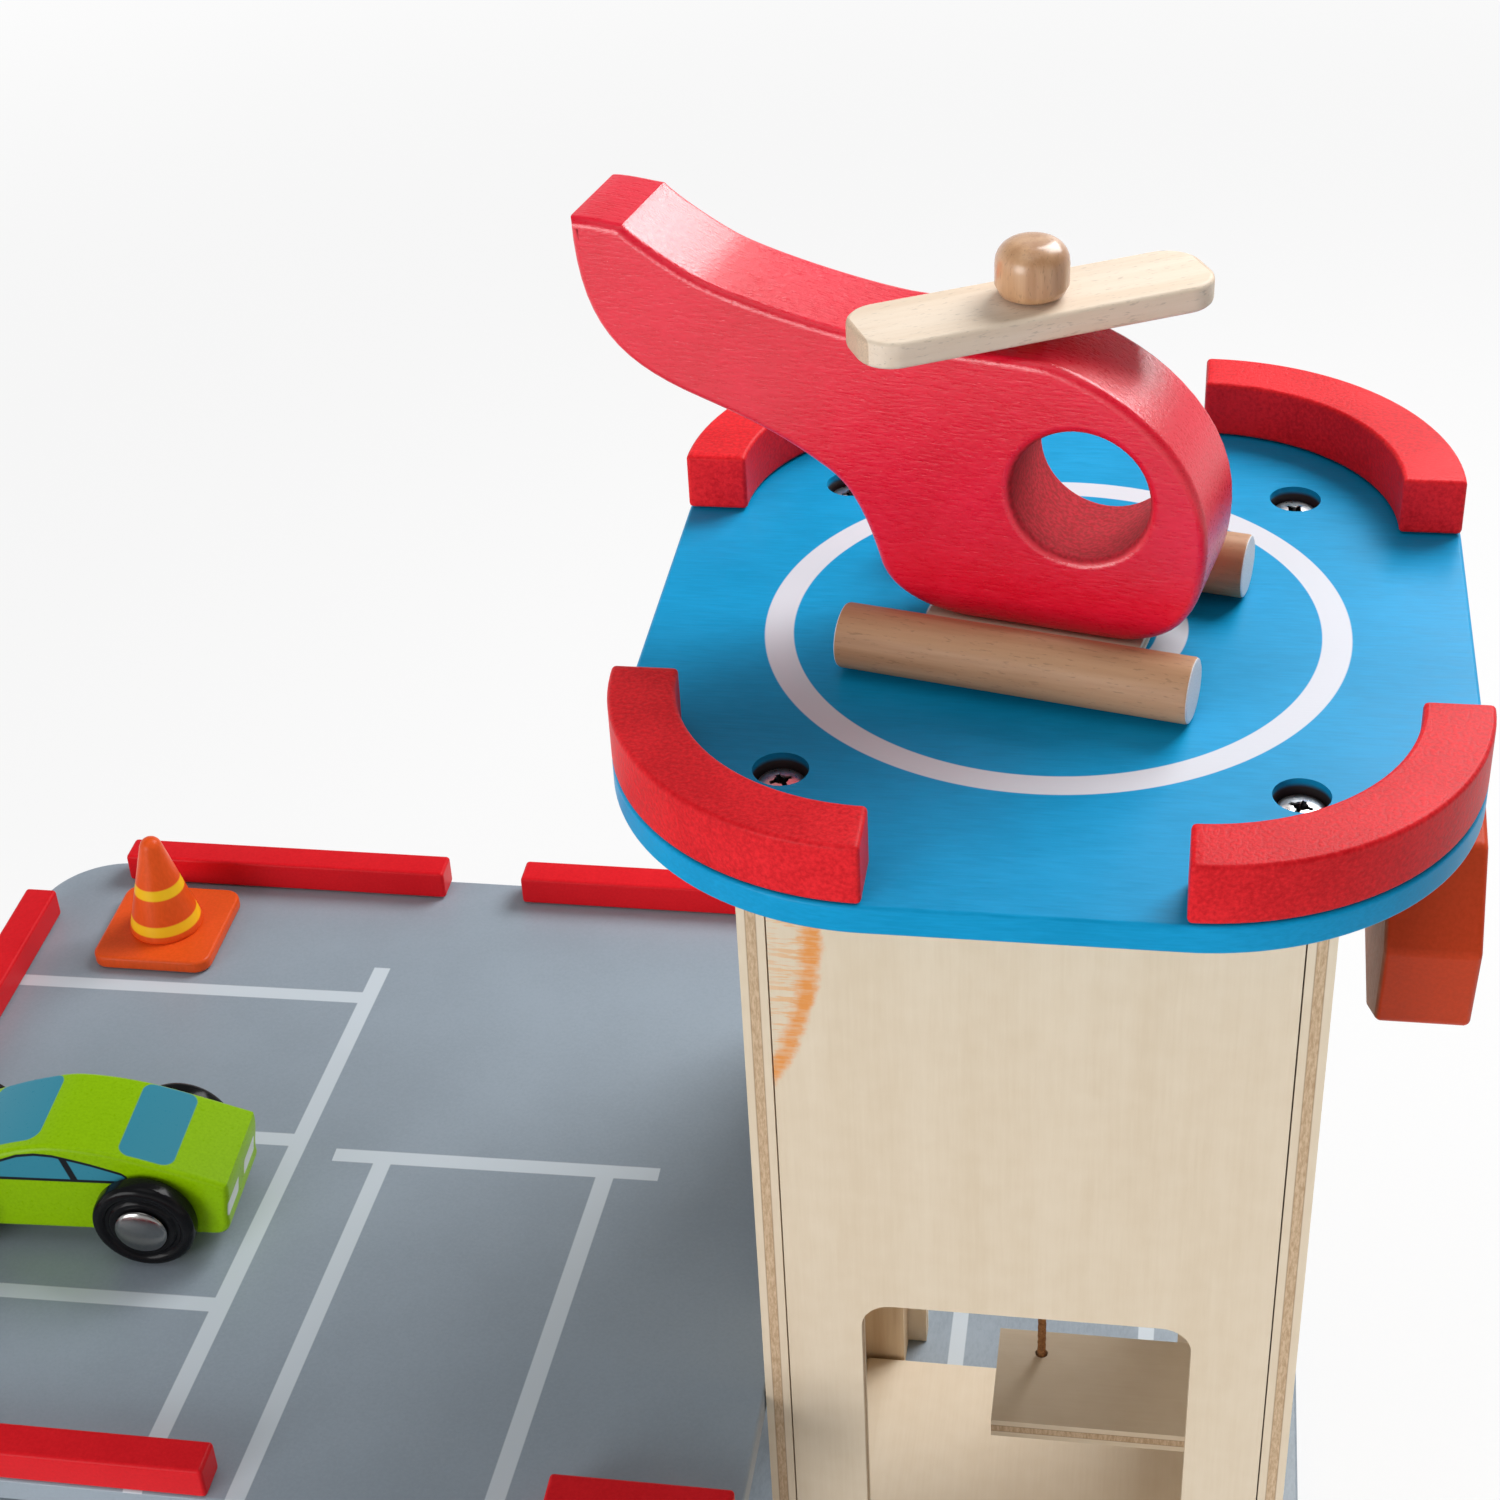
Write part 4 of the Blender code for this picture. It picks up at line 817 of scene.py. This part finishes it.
SHAFT_RADIUS = 0.006
SHAFT_EASE = 0.0008
SHAFT_BORE = SHAFT_RADIUS + 0.0002
shaft_low, shaft_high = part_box("winch_shaft")
length = shaft_high.x - shaft_low.x
shaft = lathe("shaft_dowel", [(SHAFT_RADIUS - SHAFT_EASE, 0.0), (SHAFT_RADIUS - 0.0002, 0.0002),
                              (SHAFT_RADIUS, SHAFT_EASE), (SHAFT_RADIUS, length - SHAFT_EASE),
                              (SHAFT_RADIUS - SHAFT_EASE, length)], 56)
put(shaft, along_x(shaft_low.x))
complete(shaft, beech("shaft beech", "X"), "winch", "winch_shaft")

COLLAR_RADIUS = 0.010
collar_wood = beech("collar beech", "X", dark=(0.52, 0.34, 0.20))
for side in ("left", "right"):
    low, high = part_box(f"shaft_collar_{side}")
    wide = high.x - low.x
    collar = rod(f"collar_ring_{side}", COLLAR_RADIUS, 0.0, wide, 0.0007, sides=56)
    drill(collar, (0, 0, wide), SHAFT_BORE, wide + 0.002)
    put(collar, along_x(low.x))
    complete(collar, collar_wood, "winch", f"shaft_collar_{side}")

KNOB_FLATS = 0.025
KNOB_TURN = radians(55.7)
KNOB_BORE_DEPTH = 0.0117
knob_low, knob_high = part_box("winch_knob")
bpy.ops.object.select_all(action="DESELECT")
bpy.ops.mesh.primitive_cylinder_add(vertices=8, radius=KNOB_FLATS / cos(pi / 8),
                                    depth=knob_high.x - knob_low.x)
knob = bpy.context.object
knob.name = "knob_octagon"
put(knob, along_x((knob_low.x + knob_high.x) / 2) @ Matrix.Rotation(-KNOB_TURN, 4, "Z"))
round_edges(knob, 0.0012, 4, lambda a, b: True)
bore(knob, SHAFT_BORE, 2 * KNOB_BORE_DEPTH, along_x(knob_low.x), 56)
knob_orange, place, colour, coat = satin("orange-red paint", (0.62, 0.055, 0.010), 0.42, depth=0.00003,
                                         fleck=0.08, coarse=1300.0)
x, y, z = axes(place)
bare_grain = spread(noise(drawn_along(place, "Z", 0.15), 900.0, 3.0), 0.3, 0.7)
bare = mix(bare_grain, (0.27, 0.085, 0.048), (0.37, 0.14, 0.09))
inner_face = spread(x, knob_low.x + 0.0002, knob_low.x + 0.0008, 1.0, 0.0)
finish(knob_orange, mix(inner_face, colour, bare), *coat, Specular_IOR_Level=0.15)
complete(knob, knob_orange, "winch", "winch_knob")


# The lift: a C of bare 5 mm birch ply, its floor, one wall and a narrow roof arm glued together. The
# roof arm has the cord's hole, and the knot under it carries the lift.
birch_ply("lift_floor", "Y", "Z")
birch_ply("lift_wall", "Y", "X")
birch_ply("lift_roof", "X", "Z")


# The helicopter: its body is sawn from a 22 mm board, sanded round at the edges and painted glossy
# crimson over the grain. It is glued to a thin ply crosspiece between two bare dowel skids.
COPTER_HOME = (-0.0013, -0.0015, pad_high.z + 0.0003)
COPTER_TURN = radians(-12.1)
copter_frame = Matrix.Translation(COPTER_HOME) @ Matrix.Rotation(COPTER_TURN, 4, "Z")
BELLY = 0.0063
COPTER_CORNERS = (
    ((-0.0860, 0.0702), (0.0000, -0.0210), (0.0030, 0.0003)),
    ((-0.0760, 0.0697), (-0.0030, 0.0002), (0.0020, -0.0020)),
    ((-0.0620, 0.0613), (-0.0050, 0.0022), (0.0055, -0.0023)),
    ((-0.0290, 0.0541), (-0.0110, 0.0010), (0.0080, -0.0004)),
    ((0.0020, 0.0531), (-0.0060, 0.0004), (0.0120, -0.0028)),
    ((0.0310, 0.0205), (0.0000, 0.0185), (0.0000, -0.0145)),
    ((0.0140, 0.0000), (0.0110, 0.0000), (-0.0080, 0.0000)),
    ((-0.0110, 0.0000), (0.0080, 0.0000), (-0.0105, 0.0000)),
    ((-0.0290, 0.0087), (0.0018, -0.0050), (-0.0030, 0.0105)),
    ((-0.0390, 0.0267), (0.0042, -0.0026), (-0.0090, 0.0060)),
    ((-0.0630, 0.0375), (0.0080, -0.0026), (-0.0155, 0.0050)),
)


def sawn(name, corners, thick, edge, steps=14, window=None):
    """A board sawn along a drawn outline, with rounded edges, standing up in its own XZ plane."""
    drawing = bpy.data.curves.new(name, "CURVE")
    drawing.dimensions = "2D"
    drawing.fill_mode = "BOTH"
    drawing.resolution_u = steps
    drawing.extrude = thick / 2 - edge
    drawing.bevel_depth = edge
    drawing.bevel_resolution = 4
    drawing.offset = -edge
    line = drawing.splines.new("BEZIER")
    line.bezier_points.add(len(corners) - 1)
    for point, (corner, back, onward) in zip(line.bezier_points, reversed(corners)):
        here = Vector((*corner, 0))
        point.handle_left_type = point.handle_right_type = "FREE"
        point.co = here
        point.handle_left = here + Vector((*onward, 0))
        point.handle_right = here + Vector((*back, 0))
    line.use_cyclic_u = True
    if window:
        hole = drawing.splines.new("BEZIER")
        hole.bezier_points.add(3)
        bend = window[2] * 0.5523
        for i, point in enumerate(hole.bezier_points):
            out = Vector((cos(pi / 2 * i), sin(pi / 2 * i), 0))
            across = Vector((-out.y, out.x, 0))
            point.handle_left_type = point.handle_right_type = "FREE"
            point.co = Vector((window[0], window[1], 0)) + out * window[2]
            point.handle_left = point.co - across * bend
            point.handle_right = point.co + across * bend
        hole.use_cyclic_u = True
    board = bpy.data.objects.new(name, drawing)
    bpy.context.scene.collection.objects.link(board)
    pick(board)
    bpy.ops.object.convert(target="MESH")
    board = bpy.context.object
    bpy.ops.object.mode_set(mode="EDIT")
    bpy.ops.mesh.select_all(action="SELECT")
    bpy.ops.mesh.remove_doubles(threshold=0.000004)
    bpy.ops.mesh.dissolve_limited(angle_limit=radians(0.05))
    turn_faces_out()
    put(board, Matrix.Rotation(pi / 2, 4, "X"))
    return board


crimson, place = new_material("glossy crimson paint")
local = scaled(place, home=COPTER_HOME, turn=COPTER_TURN)
hairs = noise(drawn_along(local, "X", 0.20), 1700.0, 3.0, 0.65)
pimples = noise(local, 1400.0, 2.0)
cloud = noise(local, 60.0, 3.0)
WINDOW = (0.008, 0.0282, 0.0125)
x, y, z = axes(local)
from_window = off_centre(x - WINDOW[0], z - BELLY - WINDOW[1])
# Inside the window hole the paint is rougher, like sanded wood, and its colour is darker as painted shade
# in the hole.
in_window = spread(from_window, WINDOW[2] + 0.0002, WINDOW[2] + 0.0010, 1.0, 0.0)
paint = mix(spread(cloud * 0.5 + hairs * 0.5, 0.3, 0.7), (0.74, 0.001, 0.020), (0.87, 0.002, 0.034))
sanded_with_painted_shade = mix(spread(pimples, 0.35, 0.65), (0.34, 0.001, 0.008), (0.54, 0.004, 0.022))
sheen = spread(hairs, 0.2, 0.8, 0.24, 0.36)
finish(crimson, mix(in_window, paint, sanded_with_painted_shade), sheen + in_window * 0.65, hairs * 0.65 + pimples * 0.35,
       0.00012, Specular_IOR_Level=0.75)
COPTER_THICK = 0.022
COPTER_EASE = 0.0018
copter = sawn("copter_body", COPTER_CORNERS, COPTER_THICK, COPTER_EASE, window=WINDOW)
put(copter, Matrix.Translation((0, 0, BELLY)))
ROTOR_X = -0.004
ROTOR_SEAT = BELLY + 0.0553
PEG_HOLE = 0.0028
drill(copter, (ROTOR_X, 0, ROTOR_SEAT + 0.002), PEG_HOLE, 0.0145)
put(copter, copter_frame)
complete(copter, crimson, "helicopter", "helicopter_body")
birch_ply("helicopter_crosspiece", "X", "Z", 0.003)

SKID_RADIUS = 0.006
SKID_REACH = 0.0325
SKID_OUT = 0.022
skid_wood = beech("skid beech", "X", COPTER_HOME, COPTER_TURN, (0.54, 0.31, 0.17), (0.42, 0.22, 0.11),
                  SKID_REACH - 0.0003, (0.80, 0.80, 0.80))
for side, y in (("near", -SKID_OUT), ("far", SKID_OUT)):
    skid = rod(f"copter_skid_{side}", SKID_RADIUS, -SKID_REACH, SKID_REACH, 0.0007, sides=72)
    put(skid, copter_frame @ Matrix.Translation((0, y, SKID_RADIUS)) @ Matrix.Rotation(pi / 2, 4, "Y"))
    complete(skid, skid_wood, "helicopter", f"skid_{side}")


# The rotor: a pale maple blade with round corners turns loosely on a peg in the helicopter's back. The
# peg is turned in one with its round head, stained brown and waxed, and keeps the blade down.
BLADE_TURN = radians(38.8)
BLADE_REACH = 0.033
BLADE_HALF_WIDTH = 0.0085
BLADE_LOW = 0.0003
BLADE_HIGH = 0.0053
BLADE_HOLE = 0.0030
hub = copter_frame @ Matrix.Translation((ROTOR_X, 0, ROTOR_SEAT)) @ Matrix.Rotation(BLADE_TURN, 4, "Z")
blade = block("rotor_board", (-BLADE_REACH, -BLADE_HALF_WIDTH, BLADE_LOW),
              (BLADE_REACH, BLADE_HALF_WIDTH, BLADE_HIGH))
round_edges(blade, 0.0065, 14, lambda a, b: abs(a.z - b.z) > 0.003)
ease_level_edges(blade, 0.0009)
drill(blade, (0, 0, BLADE_HIGH + 0.0002), BLADE_HOLE, 0.0060)
put(blade, hub)
blade_wood = beech("pale maple", "X", hub.translation, COPTER_TURN + BLADE_TURN, (0.85, 0.72, 0.58),
                   (0.76, 0.61, 0.46), BLADE_REACH - 0.0010, (0.70, 0.52, 0.37))
complete(blade, blade_wood, "rotor", "rotor_blade")
PEG_RADIUS = 0.0025
HEAD_RADIUS = 0.0065
HEAD_ROUND = 0.0040
PEG_FOOT = -0.0120
head_low = BLADE_HIGH + 0.0003
head = [(PEG_RADIUS, PEG_FOOT), (PEG_RADIUS, head_low), (0.0045, head_low), (0.0058, head_low + 0.0007),
        (HEAD_RADIUS, head_low + 0.0022), (HEAD_RADIUS, head_low + 0.0058)]
head += arc(HEAD_RADIUS - HEAD_ROUND, head_low + 0.0060, HEAD_ROUND, HEAD_ROUND, (15, 30, 45, 60, 75, 90))
head += [(0.0012, head_low + 0.0100)]
peg = lathe("rotor_knob", head, 64)
put(peg, hub)
peg_wood = beech("brown waxed wood", "Z", hub.translation, 0.0, (0.62, 0.36, 0.19), (0.43, 0.21, 0.09))
peg_shader = peg_wood.node_tree.nodes["Principled BSDF"]
peg_shader.inputs["Coat Weight"].default_value = 1.0
peg_shader.inputs["Coat Roughness"].default_value = 0.25
complete(peg, peg_wood, "helicopter", "rotor_peg", 40)


# The car: a sawn and rounded body in lime green with teal windows, white lamps, and four black wheels
# on steel axles with pressed dome caps.
CAR_HOME = Vector((-0.212, -0.0240, deck_high.z + 0.0003))
CAR_TURN = radians(2.7)
car_frame = Matrix.Translation(CAR_HOME) @ Matrix.Rotation(CAR_TURN, 4, "Z")
CAR_CORNERS = (
    ((0.0400, 0.0146), (0.0004, -0.0040), (-0.0040, 0.0014)),
    ((0.0200, 0.0214), (0.0060, -0.0018), (-0.0060, 0.0018)),
    ((0.0025, 0.0241), (0.0050, 0.0000), (-0.0040, 0.0000)),
    ((-0.0170, 0.0188), (0.0060, 0.0026), (-0.0070, -0.0028)),
    ((-0.0375, 0.0085), (0.0070, 0.0016), (-0.0020, -0.0006)),
    ((-0.0395, 0.0030), (0.0000, 0.0025), (0.0000, -0.0018)),
    ((-0.0360, 0.0000), (-0.0018, 0.0000), (0.0100, 0.0000)),
    ((0.0355, 0.0000), (-0.0100, 0.0000), (0.0020, 0.0000)),
    ((0.0390, 0.0036), (0.0000, -0.0020), (-0.0002, 0.0034)),
)
CAR_WIDTH = 0.0244
CAR_EASE = 0.0014
CAR_BELLY = 0.0048
car_body = sawn("toycar_body", CAR_CORNERS, CAR_WIDTH, CAR_EASE)
put(car_body, Matrix.Translation((0, 0, CAR_BELLY)))
WHEEL_RADIUS = 0.0112
AXLES = {"front": -0.0265, "rear": 0.0217}
AXLE_HOLE = 0.0018
for x in AXLES.values():
    across_car = Matrix.Translation((x, 0, WHEEL_RADIUS)) @ Matrix.Rotation(pi / 2, 4, "X")
    bore(car_body, AXLE_HOLE, 0.04, across_car, 32)
put(car_body, car_frame)
green, place = new_material("lime green paint")
local = scaled(place, home=CAR_HOME, turn=CAR_TURN)
x, y, z = axes(local)
speckle = noise(local, 1500.0, 3.0, 0.6)
lime = mix(spread(speckle, 0.3, 0.7), (0.240, 0.465, 0.000), (0.275, 0.520, 0.001))
TEAL = (0.040, 0.250, 0.350)
BLACK_LINE = (0.012, 0.014, 0.018)
LAMP_WHITE = (0.70, 0.76, 0.72)


def rounded_patch(across, along, half_across, half_along, corner, edge=0.0002):
    """A mask for a rounded rectangle about the origin of two coordinates."""
    beyond_across = (abs(across) - (half_across - corner)).at_least(0.0)
    beyond_along = (abs(along) - (half_along - corner)).at_least(0.0)
    return spread(off_centre(beyond_across, beyond_along), corner - edge, corner + edge, 1.0, 0.0)


top_half = z > 0.018
rear_window = rounded_patch(y - 0.0002, x - 0.0227, 0.0113, 0.0058, 0.0026) * top_half
windscreen = rounded_patch(y - 0.0012, x + 0.0088, 0.0105, 0.0080, 0.0030) * top_half
glass = rear_window.at_least(windscreen)
flank = abs(y) > CAR_WIDTH / 2 - 0.0007
ARCH_START = -18
ARCH_LENGTH = 38
ARCH_TOP = 30
ARCH_MM = ((-18, 18.0), (-14, 21.6), (-9, 24.8), (-5, 26.4), (-1, 27.0), (3, 26.7),
           (7.5, 25.5), (11, 24.5), (15, 23.1), (17.5, 22.2), (18.6, 21.2), (19.4, 18.0))
arch_stops = [((at - ARCH_START) / ARCH_LENGTH, (high / ARCH_TOP,) * 3 + (1,)) for at, high in ARCH_MM]
along = (x - ARCH_START / 1000) / (ARCH_LENGTH / 1000)
arch = along.add("ShaderNodeValToRGB", {"stops": arch_stops}, {0: along}) * (ARCH_TOP / 1000)
over = z - arch
side_window = spread(over, -0.00010, 0.00020, 1.0, 0.0) * spread(z, 0.0189, 0.0192) * flank
pillar = stripe(x + (z - 0.0226) * 0.27, 0.0059, 0.0008)
side_glass = spread(over, -0.00085, -0.00055, 1.0, 0.0) * spread(z, 0.0197, 0.0200) * flank * (1 - pillar)
colour = mix(glass, lime, TEAL)
colour = mix(side_window, colour, BLACK_LINE)
colour = mix(side_glass, colour, TEAL)
lamps = rounded_patch(abs(y + 0.0010) - 0.0064, z - 0.0122, 0.0041, 0.0021, 0.0007) * (x > 0.0380)
colour = mix(lamps, colour, LAMP_WHITE)
finish(green, colour, spread(speckle, 0.2, 0.8, 0.26, 0.36), speckle, 0.00001, Specular_IOR_Level=0.12)
complete(car_body, green, "car", "car_body")

tyre_black, place = new_material("black gloss plastic")
grit = noise(place, 3000.0, 2.0)
finish(tyre_black, mix(grit, (0.004, 0.004, 0.005), (0.009, 0.009, 0.010)),
       spread(grit, 0.2, 0.8, 0.14, 0.22), grit, 0.000006, Specular_IOR_Level=0.12)
axle_steel, place = new_material("pressed steel cap")
scuff = noise(place, 1400.0, 3.0)
finish(axle_steel, mix(scuff, (0.23, 0.225, 0.22), (0.30, 0.295, 0.285)),
       spread(scuff, 0.2, 0.8, 0.16, 0.26), scuff, 0.00001, Metallic=1.0)
AXLE_RADIUS = 0.0015
CAP_RADIUS = 0.00575
CAP_RISE = 0.0012
TREAD_ROUND = 0.0016
WHEEL_WIDTH = 0.0050
half = WHEEL_WIDTH / 2
wheel_middle = CAR_WIDTH / 2 + 0.0004 + half
for end, axle_x in AXLES.items():
    axle_place = Matrix.Translation((axle_x, 0, WHEEL_RADIUS))
    for side, sign in (("near", -1), ("far", 1)):
        back = [(WHEEL_RADIUS - 0.0012, -half), (WHEEL_RADIUS - 0.0004, -half + 0.0004),
                (WHEEL_RADIUS, -half + 0.0012)]
        tread = arc(WHEEL_RADIUS - TREAD_ROUND, half - TREAD_ROUND, TREAD_ROUND, TREAD_ROUND,
                    (0, 22, 45, 67, 90))
        dish = [(0.0090, half), (0.0086, half - 0.0002), (0.0082, half - 0.0006), (0.0076, half - 0.0006),
                (0.0072, half - 0.0002), (0.0068, half)]
        wheel = lathe(f"toycar_wheel_{end}_{side}", back + tread + dish, 96)
        drill(wheel, (0, 0, half), AXLE_HOLE, WHEEL_WIDTH + 0.002, 32)
        outwards = Matrix.Translation((0, sign * wheel_middle, 0)) @ Matrix.Rotation(-sign * pi / 2, 4, "X")
        put(wheel, car_frame @ axle_place @ outwards)
        complete(wheel, tyre_black, f"car_{end}_wheels", f"wheel_{end}_{side}", 40)
    rim = wheel_middle + half + 0.0007
    half_axle = [(AXLE_RADIUS, rim - 0.0004), (CAP_RADIUS - 0.0002, rim - 0.0004),
                 (CAP_RADIUS, rim - 0.0002)]
    half_axle += arc(0.0, rim, CAP_RADIUS, CAP_RISE, (0, 15, 30, 45, 60, 75, 86))
    axle = lathe(f"toycar_axle_{end}", [(r, -h) for r, h in reversed(half_axle)] + half_axle, 48)
    put(axle, car_frame @ axle_place @ Matrix.Rotation(pi / 2, 4, "X"))
    complete(axle, axle_steel, f"car_{end}_wheels", f"{end}_axle", 40)


# The traffic cone: a cone turned from an 18 mm rod and glued on a square plate, both painted orange,
# with two yellow bands round the cone.
cone_low, cone_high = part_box("traffic_cone")
cone_middle = (cone_low + cone_high) / 2
CONE_RADIUS = 0.0090
CONE_TIP = 0.0028
PLATE_HALF = 0.015
PLATE_TOP = 0.0035
shape = [(CONE_RADIUS - 0.0006, PLATE_TOP - 0.0005), (CONE_RADIUS - 0.0003, PLATE_TOP),
         (CONE_RADIUS, PLATE_TOP + 0.0004), (CONE_RADIUS, PLATE_TOP + 0.0010),
         (CONE_RADIUS - 0.0002, PLATE_TOP + 0.0016)]
tip_height = cone_high.z - cone_low.z - CONE_TIP
shape += arc(0.0, tip_height, CONE_TIP, CONE_TIP, (15, 30, 45, 60, 75, 86))
turned_cone = lathe("cone_turned", shape, 72)
plate = block("cone_and_plate", (-PLATE_HALF, -PLATE_HALF, 0.0), (PLATE_HALF, PLATE_HALF, PLATE_TOP))
round_edges(plate, 0.004, 12, lambda a, b: abs(a.z - b.z) > 0.002)
ease_level_edges(plate, 0.0009)
combine(plate, turned_cone, "UNION")
put(plate, Matrix.Translation((cone_middle.x, cone_middle.y, cone_low.z)))
BAND_HEIGHTS = (0.0068, 0.0162)
BAND_YELLOW = (0.92, 0.53, 0.015)
orange, place, colour, coat = satin("orange paint", (0.78, 0.088, 0.010), 0.34, (1.0, 1.0, 0.4), 0.000015,
                                    0.07, 1300.0)
height = axes(place)[2] - cone_low.z
bands = sum(stripe(height, middle, 0.0013, 0.00025) for middle in BAND_HEIGHTS)
finish(orange, mix(bands, colour, BAND_YELLOW), *coat, Specular_IOR_Level=0.18)
complete(plate, orange, "cone", "traffic_cone")


bpy.context.view_layer.update()
